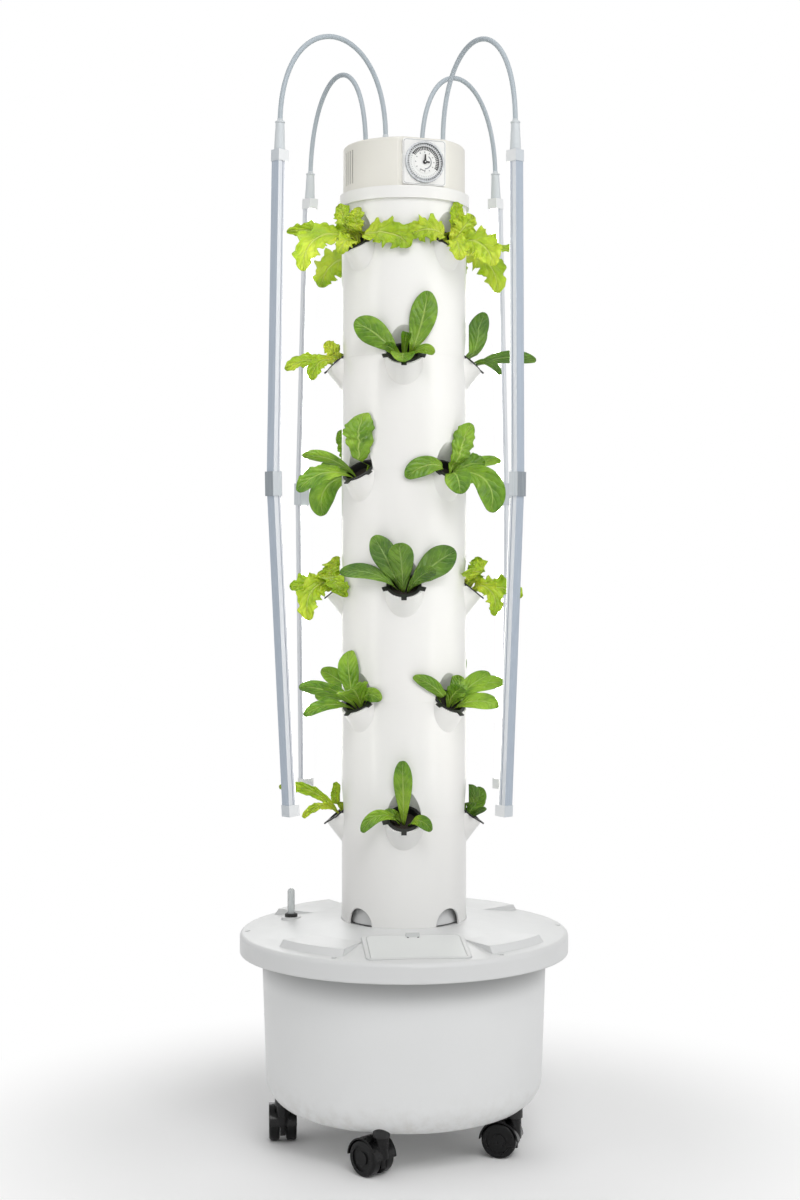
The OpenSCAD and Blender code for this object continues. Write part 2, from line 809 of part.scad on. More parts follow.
leafy = [[-115, 50, 23, 72, 21, 0, 71], [52, 58, 22, 78, 28, 0, 77], [25, 78, 59, 51, 28, 0, -71],
    [-16, 70, -3, 60, 28, 1.5, -31], [29, 37, -25, 73, 25, 0, 73]];
single = [[-5, 82, 71, 100, 28, 0, 5], [-53, 57, -65, 83, 19, 0, -70], [44, 50, -56, 55, 19, 0, 69],
    [-93, 78, -13, 32, 14, 0, -87]];
wisp = [[-6, 60, -9, 113, 17, 1.5, -71], [30, 61, -53, 78, 13, 1.5, -50],
    [-50, 74, 61, 54, 15, 1.5, -34]];
stub = [[-91, 88, 72, 49, 17, 0, 1], [3, 60, 70, 52, 28, 0, 83], [-29, 40, 23, 36, 12, 0, -45]];
// Plant in each pod, row by row from the bottom, starting at the front
planting = [
    [single, stub, leafy, wisp],
    [bushy, leafy, bushy, leafy],
    [fan, frill_right, fan, frill_left],
    [curled, broad, curled, broad],
    [pair, dark_side, pair, lime_side],
    [ruffled_left, ruffled_right, ruffled_left, ruffled_right]
];

// Half the width of a leaf along its length, from a narrow stalk to a small tip; ruffled leaves are blunter
function leaf_half(leaf, t) = let (rise = leaf[5] > 2 ? 1.25 : 1.6, blunt = leaf[5] > 2 ? 0.7 : 0.9)
    t >= 1 ? stalk_w / 6 : stalk_w / 2 + (leaf[4] - stalk_w) / 2 * pow(sin(180 * pow(t, rise)), blunt);

// Midrib at a distance along a leaf that bends steadily from one elevation to the other;
// the small extra bend keeps a straight leaf from dividing by zero
function leaf_out(leaf, t) = let (bend = leaf[2] - leaf[1] - 0.01)
    leaf[3] * 180 / (PI * bend) * (sin(leaf[1] + bend * t) - sin(leaf[1]));
function leaf_up(leaf, t) = let (bend = leaf[2] - leaf[1] - 0.01)
    leaf[3] * 180 / (PI * bend) * (cos(leaf[1]) - cos(leaf[1] + bend * t));

// How far a point of a leaf has to move outward to stand clear of the tower's wall
function wall_push(p) = let (wall = tower_r + leaf_clear)
    ((p.z < scoop_zone && abs(p.y) < scoop_half_w) || abs(p.y) > wall) ? 0
        : max(0, sqrt(wall * wall - p.y * p.y) - p.x);

// A leaf's foot is flat on the top of the plug, nearer the pod's axis the steeper the leaf
function leaf_foot(leaf, side) =
    let (
        root = leaf_root_r * (1 - leaf[1] / 110),
        down = [cos(pod_tilt), 0, -sin(pod_tilt)],
        ahead = cos(leaf[0]) * down + sin(leaf[0]) * [0, 1, 0],
        level = -sin(leaf[0]) * down + cos(leaf[0]) * [0, 1, 0]
    )
    [tower_r, 0, 0] + (root - side.y) * ahead + side.x * level
        - plug_sink * [sin(pod_tilt), 0, cos(pod_tilt)];

function leaf_ring(leaf, i) =
    let (
        t = i / (leaf_stations - 1),
        rise = leaf[1] + (leaf[2] - leaf[1]) * t,
        roll = leaf[6] * min(1, t / leaf_twist),
        half = leaf_half(leaf, t),
        ahead = [cos(leaf[0]), sin(leaf[0]), 0],
        level = [-sin(leaf[0]), cos(leaf[0]), 0],
        upper = [0, 0, 1] * cos(rise) - ahead * sin(rise),
        side = level * cos(roll) + upper * sin(roll),
        normal = upper * cos(roll) - level * sin(roll),
        mid = leaf_foot(leaf, [0, 0]) + ahead * leaf_out(leaf, t) + [0, 0, 1] * leaf_up(leaf, t),
        wave = t < 1 ? leaf[5] * (i % 2 == 0 ? 1 : -1) * t : 0,
        lift = normal * (leaf_cup * half),
        ring = i == 0
            ? [for (c = [[half, 0], [0, leaf_t], [-half, 0], [0, -leaf_t]]) leaf_foot(leaf, c)]
            : [
                mid + side * half + lift + normal * wave,
                mid + normal * leaf_t,
                mid - side * half + lift - normal * wave,
                mid - normal * leaf_t
            ],
        push = max([for (p = ring) wall_push(p)])
    )
    [for (p = ring) p + [push, 0, 0]];

module leaf(shape) {
    loft([for (i = [0:leaf_stations - 1]) leaf_ring(shape, i)], blade = true);
}

module plants(rows) {
    color("#7fae2e") for (k = rows, i = [0:3])
        translate([0, 0, seam(k)]) rotate([0, 0, pod_angle(k) + 90 * i])
            for (shape = planting[k][i]) leaf(shape);
}

// Head
module at_head() {
    translate([0, 0, head_z]) rotate([0, 0, head_turn]) children();
}

module head_solid(inset) {
    difference() {
        rotate_extrude() {
            square([head_r - inset - head_edge_r, head_h - inset]);
            square([head_r - inset, head_h - inset - head_edge_r]);
            translate([head_r - inset - head_edge_r, head_h - inset - head_edge_r]) circle(head_edge_r);
        }
        translate([-head_r, -2 * head_r - facet_d + inset, -weld])
            cube([2 * head_r, 2 * head_r, head_h + 2 * weld]);
    }
}

module head_shell() {
    color("#e4e2da") at_head() difference() {
        union() {
            difference() {
                head_solid(0);
                translate([0, 0, -weld]) head_solid(head_wall);
            }
            for (a = socket_turn) rotate([0, 0, a - 90])
                translate([socket_reach, 0, head_h - head_wall - socket_depth])
                    cylinder(r = socket_pin_r + socket_wall, h = socket_depth + weld);
        }
        for (a = socket_turn) rotate([0, 0, a - 90])
            translate([socket_reach, 0, head_h - head_wall - socket_depth - weld])
                cylinder(r = socket_pin_r + run_gap, h = head_h);
        for (side = [-1, 1], i = [0:vent_count - 1])
            rotate([0, 0, -90 + side * (vent_first + i * vent_step)])
                translate([head_r - 3 * head_wall, -vent_w / 2, (head_h - vent_h) / 2])
                    cube([6 * head_wall, vent_w, vent_h]);
        at_timer_here() translate([0, 0, -head_wall - weld]) linear_extrude(2 * head_wall + weld)
            square(timer_box + 2 * seat_gap, center = true);
    }
}

// Frame on the head's facet: X to the right, Y up, Z out of the plate
module at_timer_here() {
    translate([0, -facet_d, head_h / 2]) rotate([90, 0, 0]) children();
}

module at_timer() {
    at_head() at_timer_here() children();
}

module timer_plate() {
    well = dial_r + dial_gap;
    color("#e9e9e6") at_timer() {
        difference() {
            union() {
                linear_extrude(timer_plate_t) rounded_square([timer_side, timer_side], timer_corner);
                translate([0, 0, timer_plate_t - weld]) cylinder(r = well + bezel_t, h = bezel_h + weld);
                translate([0, 0, -timer_box_d]) linear_extrude(timer_box_d + weld)
                    square(timer_box, center = true);
            }
            translate([0, 0, dial_floor]) cylinder(r = well, h = timer_plate_t + bezel_h);
        }
        translate([0, 0, dial_floor - weld]) cylinder(r = face_r, h = face_z - dial_floor + weld);
        cylinder(r = post_r, h = face_z + hand_t + 2 * seat_gap);
        cylinder(r = post_top_r, h = face_z + 3 * hand_t + 3 * seat_gap);
    }
}

module timer_dial() {
    pitch = 360 / tappet_count;
    outline = [for (i = [0:tappet_count - 1], c = [[0, 1], [tappet_share, 1], [tappet_share, 0], [1, 0]])
        let (r = dial_r - (1 - c[1]) * tappet_len, a = (i + c[0]) * pitch) [r * cos(a), r * sin(a)]];
    color("#3a3c40") at_timer() translate([0, 0, dial_floor + seat_gap]) difference() {
        union() {
            linear_extrude(dial_t) polygon(outline);
            cylinder(r = dial_r - tappet_len - weld, h = dial_t);
        }
        translate([0, 0, -weld]) cylinder(r = face_r + run_gap, h = dial_t + 2 * weld);
    }
}

// Clock hand lying along +X, with its hub round the post
module clock_hand(length, width, hub_r, bore_r) {
    linear_extrude(hand_t) difference() {
        union() {
            circle(hub_r);
            polygon([[0, -width / 2], [length, -width / 3], [length, width / 3], [0, width / 2]]);
        }
        circle(bore_r + run_gap);
    }
}

module hour_hand() {
    color("#161616") at_timer() translate([0, 0, face_z + seat_gap])
        clock_hand(hour_len, hour_w, hour_hub_r, post_r);
}

module minute_hand() {
    color("#161616") at_timer() translate([0, 0, face_z + 2 * hand_t + 2 * seat_gap]) rotate([0, 0, 90])
        clock_hand(minute_len, minute_w, minute_hub_r, post_top_r);
}

module lamp_driver() {
    color("#d9dadb") at_head() translate([-driver_size.x / 2, 0, 0]) cube(driver_size);
}

// Pump, riser and spray head
module pump_body() {
    color("#26282b") difference() {
        union() {
            translate([0, 0, pump_z]) linear_extrude(pump_size.z)
                rounded_square([pump_size.x, pump_size.y], pump_corner);
            for (x = [-1, 1], y = [-1, 1])
                translate([x * (pump_size.x / 2 - pump_foot_r), y * (pump_size.y / 2 - pump_foot_r), 0])
                    translate([0, 0, pump_z - pump_foot_h]) cylinder(r = pump_foot_r, h = pump_foot_h + weld);
            translate([0, 0, pump_top - weld])
                cylinder(r = riser_r - riser_wall - run_gap, h = outlet_h + weld);
        }
        at_impeller() {
            translate([0, 0, -weld])
                cylinder(r = impeller_r + chamber_gap, h = impeller_len + chamber_gap + weld);
            cylinder(r = shaft_r + run_gap, h = impeller_len + chamber_gap + shaft_len);
        }
        translate([0, 0, pump_z + pump_size.z / 2]) cylinder(r = outlet_bore_r, h = pump_size.z + outlet_h);
    }
}

// Frame on the pump's front face: Z points into the pump
module at_impeller() {
    translate([0, -pump_size.y / 2, pump_z + pump_size.z / 2]) rotate([-90, 0, 0]) children();
}

module pump_impeller() {
    color("#b9c4c9") at_impeller() translate([0, 0, seat_gap]) {
        cylinder(r = shaft_r, h = impeller_len + shaft_len);
        cylinder(r = impeller_hub_r, h = impeller_len);
        for (i = [0:vane_count - 1]) rotate([0, 0, i * 360 / vane_count])
            translate([0, -vane_t / 2, 0]) cube([impeller_r, vane_t, impeller_len]);
    }
}

module pump_strainer() {
    w = pump_size.x - 2 * pump_corner;
    h = pump_size.z - 2 * strainer_margin;
    middle = [0, -pump_size.y / 2, pump_z + pump_size.z / 2];
    color("#2f3236") translate(middle) rotate([90, 0, 0]) difference() {
        linear_extrude(strainer_d) rounded_square([w, h], pump_corner);
        translate([0, 0, -weld]) linear_extrude(strainer_d - strainer_wall + weld)
            rounded_square([w - 2 * strainer_wall, h - 2 * strainer_wall], pump_corner - strainer_wall);
        for (i = [0:strainer_slots - 1])
            translate([(i - (strainer_slots - 1) / 2) * w / (strainer_slots + 1), 0, strainer_d])
                cube([strainer_slot.x, strainer_slot.y, 4 * strainer_wall], center = true);
    }
}

module riser_pipe() {
    color("#e8e8e4") translate([0, 0, pump_top]) tube(riser_r, riser_wall, spray_z + spray_t - pump_top);
}

module spray_head() {
    color("#e8e8e4") translate([0, 0, spray_z]) difference() {
        union() {
            cylinder(r = spray_r, h = spray_t);
            translate([0, 0, -spray_t]) cylinder(r = riser_r + hub_wall, h = spray_t + weld);
        }
        translate([0, 0, -spray_t - weld]) cylinder(r = riser_r + run_gap, h = 2 * spray_t + 2 * weld);
        for (i = [0:jet_count - 1]) rotate([0, 0, i * 360 / jet_count])
            translate([spray_r - 3 * jet_r, 0, -weld]) cylinder(r = jet_r, h = spray_t + 2 * weld);
    }
}

// Lamps. The frame's origin is on the top of the upper end cap, X outward, Z up the lamp.
module at_lamp(i) {
    rotate([0, 0, lamp_bearing[i]]) translate([lamp_reach[i], 0, lamp_top])
        rotate([0, -lean_upper[i], 0]) children();
}

// Frame at the top of the lower half
module at_lower_half(i) {
    at_lamp(i) translate([0, 0, -baton_len]) rotate([0, lean_upper[i] + lean_lower[i], 0])
        translate([0, 0, -baton_gap]) children();
}

function around(r, a, z) = [r * cos(a), r * sin(a), z];
function socket_angle(i) = head_turn + socket_turn[i] - 90;
function socket_pos(i) = around(socket_reach, socket_angle(i), head_top + seat_gap + ferrule_h);
function lamp_axis(i) = around(-sin(lean_upper[i]), lamp_bearing[i], cos(lean_upper[i]));
function lamp_pos(i) =
    around(lamp_reach[i], lamp_bearing[i], lamp_top) + lamp_axis(i) * (plug_h + plug_flange_h);

function bezier(p, t) =
    pow(1 - t, 3) * p[0] + 3 * pow(1 - t, 2) * t * p[1] + 3 * (1 - t) * t * t * p[2] + pow(t, 3) * p[3];
function bezier_slope(p, t) =
    pow(1 - t, 2) * (p[1] - p[0]) + 2 * (1 - t) * t * (p[2] - p[1]) + t * t * (p[3] - p[2]);
function unit(v) = v / norm(v);

module lamp_arm(i) {
    start = socket_pos(i);
    finish = lamp_pos(i);
    reach = arm_rise * 4 / 3;
    path = [start, start + [0, 0, reach], finish + lamp_axis(i) * reach, finish];
    across = unit(cross([0, 0, 1], [finish.x - start.x, finish.y - start.y, 0]));
    color("#d6d8d8") {
        translate([start.x, start.y, head_top + seat_gap - socket_depth])
            cylinder(r = socket_pin_r, h = socket_depth + weld);
        translate([start.x, start.y, head_top + seat_gap]) cylinder(r = ferrule_r, h = ferrule_h);
        loft([for (s = [0:arm_rings])
            let (
                t = s / arm_rings,
                mid = bezier(path, t),
                over = unit(cross(unit(bezier_slope(path, t)), across))
            )
            [for (j = [0:arm_sides - 1]) let (a = j * 360 / arm_sides)
                mid + arm_r * (cos(a) * across + sin(a) * over)]]);
        at_lamp(i) {
            cylinder(r1 = plug_r, r2 = plug_top_r, h = plug_h);
            translate([0, 0, plug_h]) cylinder(r = plug_flange_r, h = plug_flange_h);
        }
    }
}

// Cross-section of the housing, with a groove down each side
module housing_section() {
    difference() {
        translate([housing_front, -baton_w / 2]) square([housing_back - housing_front, baton_w]);
        for (side = [-1, 1]) translate([0, side * baton_w / 2])
            square([2 * groove, 2 * groove], center = true);
    }
}

module lamp_housing(i) {
    half = baton_len - lamp_cap_h;
    color("#c3c9d1") {
        at_lamp(i) translate([0, 0, -baton_len]) linear_extrude(half) housing_section();
        at_lower_half(i) translate([0, 0, -half]) linear_extrude(half) housing_section();
    }
}

module diffuser_section() {
    intersection() {
        translate([diffuser_mid, 0]) circle(diffuser_r);
        translate([housing_front - baton_w, -baton_w]) square([baton_w, 2 * baton_w]);
    }
}

module lamp_diffuser(i) {
    low = sleeve_h / 2 + sleeve_clear;
    half = baton_len - lamp_cap_h - low;
    color("#ffffff") {
        at_lamp(i) translate([0, 0, -lamp_cap_h - half]) linear_extrude(half) diffuser_section();
        at_lower_half(i) translate([0, 0, -low - half]) linear_extrude(half) diffuser_section();
    }
}

module end_cap() {
    translate([cap_front, -lamp_cap_w / 2, 0]) cube([cap_back - cap_front, lamp_cap_w, lamp_cap_h]);
}

module lamp_fittings(i) {
    inner = [housing_back - housing_front + 2 * sleeve_kink_gap, baton_w + 2 * sleeve_side_gap];
    outer = inner + 2 * [sleeve_wall, sleeve_wall];
    middle = (housing_back + housing_front) / 2;
    color("#9aa0a6") {
        at_lamp(i) translate([0, 0, -lamp_cap_h]) end_cap();
        at_lower_half(i) translate([0, 0, -baton_len]) end_cap();
        at_lamp(i) translate([0, 0, -baton_len]) rotate([0, (lean_upper[i] + lean_lower[i]) / 2, 0])
            translate([middle, 0, -baton_gap / 2 - sleeve_h / 2]) linear_extrude(sleeve_h) difference() {
                square(outer, center = true);
                square(inner, center = true);
            }
    }
}

reservoir_tub();
reservoir_lid();
access_hatch();
level_grommet();
level_tube();
level_float();
for (i = [1:5]) {
    caster_hood(i - 1);
    caster_wheels(i - 1);
    tower_ring(i);
}
tower_foot();
tower_neck();
net_cups([0, 1]);  // net_cups_lower
net_cups([2, 3]);  // net_cups_middle
net_cups([4, 5]);  // net_cups_upper
grow_plugs();
plants([0, 1]);  // plants_lower
plants([2, 3]);  // plants_middle
plants([4, 5]);  // plants_upper
head_shell();
timer_plate();
timer_dial();
hour_hand();
minute_hand();
lamp_driver();
pump_body();
pump_strainer();
pump_impeller();
riser_pipe();
spray_head();
for (i = [1:4]) {
    lamp_arm(i - 1);
    lamp_housing(i - 1);
    lamp_diffuser(i - 1);
    lamp_fittings(i - 1);
}
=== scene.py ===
from collections import namedtuple
from math import cos, pi, radians, sin, sqrt

import bpy
from mathutils import Matrix, Vector, noise


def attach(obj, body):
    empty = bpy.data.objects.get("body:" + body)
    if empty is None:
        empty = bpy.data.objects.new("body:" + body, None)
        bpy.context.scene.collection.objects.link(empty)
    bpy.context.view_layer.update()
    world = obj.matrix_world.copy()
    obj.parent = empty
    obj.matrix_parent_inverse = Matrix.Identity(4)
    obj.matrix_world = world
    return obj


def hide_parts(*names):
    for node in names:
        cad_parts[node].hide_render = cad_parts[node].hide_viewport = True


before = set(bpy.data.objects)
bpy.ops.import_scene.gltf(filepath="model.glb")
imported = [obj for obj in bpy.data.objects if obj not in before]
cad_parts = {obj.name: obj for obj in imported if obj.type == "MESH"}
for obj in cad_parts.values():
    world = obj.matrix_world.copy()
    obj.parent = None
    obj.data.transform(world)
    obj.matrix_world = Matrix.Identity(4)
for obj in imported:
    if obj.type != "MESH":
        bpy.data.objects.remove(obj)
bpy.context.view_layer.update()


# Layout: lengths in metres, bearings and leans of the arms and lamps in degrees, other angles in radians

UP = Vector((0, 0, 1))
HEAD_TOP, HEAD_R = 1.510, 0.093
HEAD_TURN = radians(20)

# Vent slits, their walls darkened with painted shade: heights, the depths below the head's surface over which
# that painted shade deepens, first bearing from the facet, step from one to the next, and half a slot's width and
# the room beyond the end ones as shares of that step
VENT_LOW, VENT_HIGH = 1.4478, 1.4982
VENT_SHALLOW, VENT_DEEP = 0.0002, 0.0014
VENT_COUNT = 4
VENT_FIRST, VENT_STEP = radians(76), radians(4.5)
VENT_HALF, VENT_SPARE = 0.15, 0.4

# Casters, and the bosses on the tub that hold their stems
CASTER_BEARING, CASTER_STEP, CASTER_REACH = radians(-100), radians(72), 0.185
BOSS_R, BOSS_TOP = 0.0128, 0.105

# The hatch's finger tab and the stops in front of it, along the lid's own axes
LID_TURN = radians(5.5)
TAB_HALF, TAB_FRONT = 0.0104, 0.1362
STOP_SIDE, STOP_OUT, STOP_R = 0.0075, 0.1378, 0.0017

# Timer: height of its middle, and from there radii in millimetres, ranges of bearing and shares of a step
TIMER_Z = 1.473
PLATE_FLAT, PLATE_LINE = 28.0, (4.0, 5.0)
BEZEL = (27.7, 30.7)
DIAL_GROUND = (17.1, 27.8)
HOUR_COUNT, HOUR_MARKS, HOUR_EDGE = 12, (13.4, 15.4), 0.42
ARC, ARC_TURN = (9.4, 10.9), (-1.55, 0.95)
DASH_COUNT, DASHES, DASH_TURN, DASH_SHARE = 36, (12.0, 13.6), (-2.2, -1.5), 0.7
TAPPET_COUNT, SCALE_R = 48, 23.6
TICKS, TICK_SHARE = (20.8, 23.0), 0.22
SET_TURN = (-0.56, 2.6)
SET_INNER, SET_INNER_SHARE = (17.4, 20.8), 0.66
SET_OUTER, SET_OUTER_SHARE = (20.8, 23.3), 0.88

# Lamps: for each of the four its socket in the head, its bearing, its reach from the axis and its lean, then the
# height of their tops, how squarely a surface faces outward to count as the back that gets painted shade, the
# pitch and glow of the small lights, and the places of the covers' seams and of the sleeve
SOCKETS = (-115, -25, 65, 155)
LAMP_BEARINGS = (-135.5, -47.6, 49.6, 131.2)
LAMP_REACHES = (0.250, 0.237, 0.230, 0.232)
LAMP_LEANS = (1.2, 0.3, 2.0, 2.4)
LAMP_TOP = 1.470
LAMP_SHADED_BACK = (0.45, 0.75)
LIGHT_PITCH = 0.0125
GLOW_LOW, GLOW_HIGH = 5.0, 5.9
COVER_SEAM = (0.0034, 0.0042)
SLEEVE = (0.93, 1.05)

# Arms, each a ribbed tube between a ferrule and a connector, and the collar inside the foot. The turned shapes are
# profiles of (radius, height) pairs.
SOCKET_REACH = 0.065
ARM_RISE = 0.136
TUBE_FOOT, FERRULE_SINK = 0.0053, 0.005
CONNECTOR_LENGTH = 0.041
RIB_COUNT, RIB_R, GROOVE_R = 190, 0.0038, 0.0034
TUBE_SIDES, TURNED_SIDES, COLLAR_SIDES = 14, 28, 96
FERRULE = (
    (0.0045, -0.0137), (0.0045, -0.0002), (0.0066, -0.0001), (0.007, 0.0004), (0.007, 0.0034),
    (0.0062, 0.0046), (0.0045, 0.0052), (0.0042, 0.0088), (0.0034, 0.0092),
)
CONNECTOR = (
    (0.0079, 0.0001), (0.008, 0.0005), (0.0078, 0.006), (0.0078, 0.0064), (0.0066, 0.0325),
    (0.0064, 0.037), (0.0061, 0.0378), (0.0061, 0.0384), (0.0069, 0.0386), (0.0072, 0.0391),
    (0.0072, 0.0404), (0.0066, 0.0411), (0.0044, 0.0413), (0.0041, 0.0445), (0.0034, 0.0448),
)
COLLAR = (
    (0.0862, 0.3381), (0.0862, 0.341), (0.0822, 0.366), (0.0812, 0.3675), (0.0798, 0.3675),
    (0.0788, 0.366), (0.0825, 0.3381),
)

# Noise: the parts of its range that are stretched to another range, and its scales for the slow drift of a tone,
# for patches of gloss and for the grain, the last two for worn surfaces too
MIDDLE, WIDE = (0.35, 0.65), (0.3, 0.7)
DRIFT_SCALE, PATCH_SCALE, GRAIN_SCALE = 5.0, 38.0, 1400.0
WORN_PATCH_SCALE, WORN_GRAIN_SCALE = 70.0, 1100.0


def around(r, degrees, z):
    """Point at a distance from the tower's axis, a bearing and a height."""
    return Vector((r * cos(radians(degrees)), r * sin(radians(degrees)), z))


def circle(sides):
    """Angles of equal steps round a circle."""
    return [2 * pi * j / sides for j in range(sides)]


# Colours and node helpers

def srgb(text):
    """Linear colour for a written #rrggbb."""
    channels = [int(text[i:i + 2], 16) / 255 for i in (1, 3, 5)]
    return tuple(c / 12.92 if c <= 0.04045 else ((c + 0.055) / 1.055) ** 2.4 for c in channels) + (1.0,)


class Nodes:
    """A material's node tree, with one call for each kind of node used here."""

    def __init__(self, name):
        self.material = bpy.data.materials.new(name)
        self.material.use_nodes = True
        self.tree = self.material.node_tree
        self.shader = self.tree.nodes["Principled BSDF"]

    def add(self, kind, **values):
        node = self.tree.nodes.new(kind)
        for key, value in values.items():
            setattr(node, key, value)
        return node

    def link(self, source, target):
        self.tree.links.new(source, target)

    def set(self, **values):
        """Values of the shader's own sockets, with _ for a space in their names."""
        for key, value in values.items():
            self.shader.inputs[key.replace("_", " ")].default_value = value

    def place(self, stretch=(1, 1, 1)):
        """Object coordinates, in metres, stretched along the axes."""
        coords = self.add("ShaderNodeTexCoord")
        mapping = self.add("ShaderNodeMapping")
        mapping.inputs["Scale"].default_value = stretch
        self.link(coords.outputs["Object"], mapping.inputs["Vector"])
        return mapping.outputs["Vector"]

    def along(self, axis, source="Object"):
        """Distance along an axis in metres or, from the normal, how far the surface faces along it."""
        coords = self.add("ShaderNodeTexCoord")
        node = self.add("ShaderNodeVectorMath", operation="DOT_PRODUCT")
        self.link(coords.outputs[source], node.inputs[0])
        node.inputs[1].default_value = axis
        return node.outputs["Value"]

    def parts(self, vector):
        """A vector's X, Y and Z."""
        node = self.add("ShaderNodeSeparateXYZ")
        self.link(vector, node.inputs["Vector"])
        return node.outputs

    def noise(self, place, scale, detail=3.0, rough=0.5):
        node = self.add("ShaderNodeTexNoise")
        node.inputs["Scale"].default_value = scale
        node.inputs["Detail"].default_value = detail
        node.inputs["Roughness"].default_value = rough
        self.link(place, node.inputs["Vector"])
        return node.outputs["Fac"]

    def spread(self, value, low, high, to_low=0.0, to_high=1.0, smooth=False):
        """A range of values stretched to another range and held at its ends."""
        node = self.add("ShaderNodeMapRange")
        if smooth:
            node.interpolation_type = "SMOOTHSTEP"
        ends = {"From Min": low, "From Max": high, "To Min": to_low, "To Max": to_high}
        for key, number in ends.items():
            node.inputs[key].default_value = number
        self.link(value, node.inputs["Value"])
        return node.outputs["Result"]

    def math(self, operation, a, b=0.0):
        node = self.add("ShaderNodeMath", operation=operation)
        for socket, value in ((node.inputs[0], a), (node.inputs[1], b)):
            if isinstance(value, (int, float)):
                socket.default_value = value
            else:
                self.link(value, socket)
        return node.outputs["Value"]

    def mix(self, factor, a, b):
        node = self.add("ShaderNodeMix", data_type="RGBA")
        self.link(factor, node.inputs["Factor"])
        for socket, value in ((node.inputs[6], a), (node.inputs[7], b)):
            if isinstance(value, tuple):
                socket.default_value = value
            else:
                self.link(value, socket)
        return node.outputs[2]

    def under(self, value, limit):
        """1 below a value and 0 above it."""
        return self.math("LESS_THAN", value, limit)

    def band(self, value, low, high):
        """1 between two values and 0 outside them."""
        return self.math("MULTIPLY", self.math("GREATER_THAN", value, low), self.under(value, high))

    def both(self, *masks):
        """1 where all the masks are 1."""
        whole = masks[0]
        for mask in masks[1:]:
            whole = self.math("MULTIPLY", whole, mask)
        return whole

    def reach(self, a, b):
        """Length of the hypotenuse over two sides."""
        squares = [self.math("MULTIPLY", side, side) for side in (a, b)]
        return self.math("SQRT", self.math("ADD", *squares))

    def from_half(self, value):
        """Distance of a value from one half."""
        return self.math("ABSOLUTE", self.math("SUBTRACT", value, 0.5))

    def steps(self, bearing, count):
        """Share of the way through each of a count of equal steps round a circle."""
        return self.math("FRACT", self.math("MULTIPLY", bearing, count / (2 * pi)))

    def drift(self, place, tone, other):
        """A slow change between two written tones."""
        slow = self.noise(place, DRIFT_SCALE, 2.0)
        return self.mix(self.spread(slow, *MIDDLE), srgb(tone), srgb(other))

    def color(self, value):
        self.link(value, self.shader.inputs["Base Color"])

    def roughness(self, value, low, high):
        """Roughness between two values, by a noise."""
        self.link(self.spread(value, *WIDE, low, high), self.shader.inputs["Roughness"])

    def bump(self, height, distance, strength=1.0, edge=0.0):
        """Relief from a height and, where edge is given, edges rounded to that radius."""
        node = self.add("ShaderNodeBump")
        node.inputs["Distance"].default_value = distance
        node.inputs["Strength"].default_value = strength
        self.link(height, node.inputs["Height"])
        if edge:
            bevel = self.add("ShaderNodeBevel", samples=4)
            bevel.inputs["Radius"].default_value = edge
            self.link(bevel.outputs["Normal"], node.inputs["Normal"])
        self.link(node.outputs["Normal"], self.shader.inputs["Normal"])


# Materials

def caster_bosses(n, parts):
    """1 on the five bosses that hold the casters' stems."""
    turn = n.math("SUBTRACT", n.math("ARCTAN2", parts["Y"], parts["X"]), CASTER_BEARING)
    count = n.math("ADD", n.math("DIVIDE", turn, CASTER_STEP), 0.5)
    off = n.math("MULTIPLY", n.math("SUBTRACT", n.math("FRACT", count), 0.5), CASTER_STEP)
    away = n.reach(parts["X"], parts["Y"])
    side = n.math("MULTIPLY", away, n.math("SINE", off))
    ahead = n.math("SUBTRACT", n.math("MULTIPLY", away, n.math("COSINE", off)), CASTER_REACH)
    return n.both(n.under(n.reach(side, ahead), BOSS_R), n.under(parts["Z"], BOSS_TOP))


def moulded(name, tone, other, rough, grain=0.00006, edge=0.0, coat=0.0, patchy=0.05,
            dust=None, painted_shade=None, mark=None):
    """Moulded plastic: a slow drift of tone, patchy gloss, a fine grain and rounded edges.

    dust is a colour and a height below which it gathers, the argument after it a colour of painted shade that comes
    in between two heights, and mark a colour and a function that makes the mask for it.
    """
    n = Nodes(name)
    place = n.place()
    tones = n.drift(place, tone, other)
    if dust:
        low = n.spread(n.parts(place)["Z"], dust[1], 0.0, smooth=True)
        patch = n.spread(n.noise(place, 60.0, 5.0, 0.65), 0.42, 0.7)
        tones = n.mix(n.both(low, patch), tones, srgb(dust[0]))
    # painted shade: a darker colour coming in between two heights, full above the higher
    if painted_shade:
        high = n.spread(n.parts(place)["Z"], painted_shade[1], painted_shade[2], smooth=True)
        tones = n.mix(high, tones, srgb(painted_shade[0]))
    if mark:
        tones = n.mix(mark[1](n, n.parts(place)), tones, srgb(mark[0]))
    n.color(tones)
    n.roughness(n.noise(place, PATCH_SCALE, 4.0), rough - patchy, rough + patchy)
    n.bump(n.noise(place, GRAIN_SCALE, 2.0), grain, edge=edge)
    n.set(IOR=1.49, Coat_Weight=coat, Coat_Roughness=0.2)
    return n.material


def scuffed(name, tone, rough, rub="#4a4a4c", coat=0.0, edge=0.0, amount=0.5, gloss=0.5):
    """Dark plastic or rubber with pale rubbed specks and patchy gloss."""
    n = Nodes(name)
    place = n.place()
    specks = n.spread(n.noise(place, 240.0, 6.0, 0.7), 0.62, 0.8)
    n.color(n.mix(n.math("MULTIPLY", specks, amount), srgb(tone), srgb(rub)))
    n.roughness(n.noise(place, WORN_PATCH_SCALE, 4.0), rough - 0.07, rough + 0.1)
    n.bump(n.noise(place, WORN_GRAIN_SCALE, 2.0), 0.00008, edge=edge)
    n.set(IOR=1.5, Specular_IOR_Level=gloss, Coat_Weight=coat, Coat_Roughness=0.08)
    return n.material


def lamp_back_shade(n, i):
    """1 where the lamp's surface faces away from the tower, where painted shade darkens it."""
    return n.spread(n.along(around(1, LAMP_BEARINGS[i], 0), "Normal"), *LAMP_SHADED_BACK)


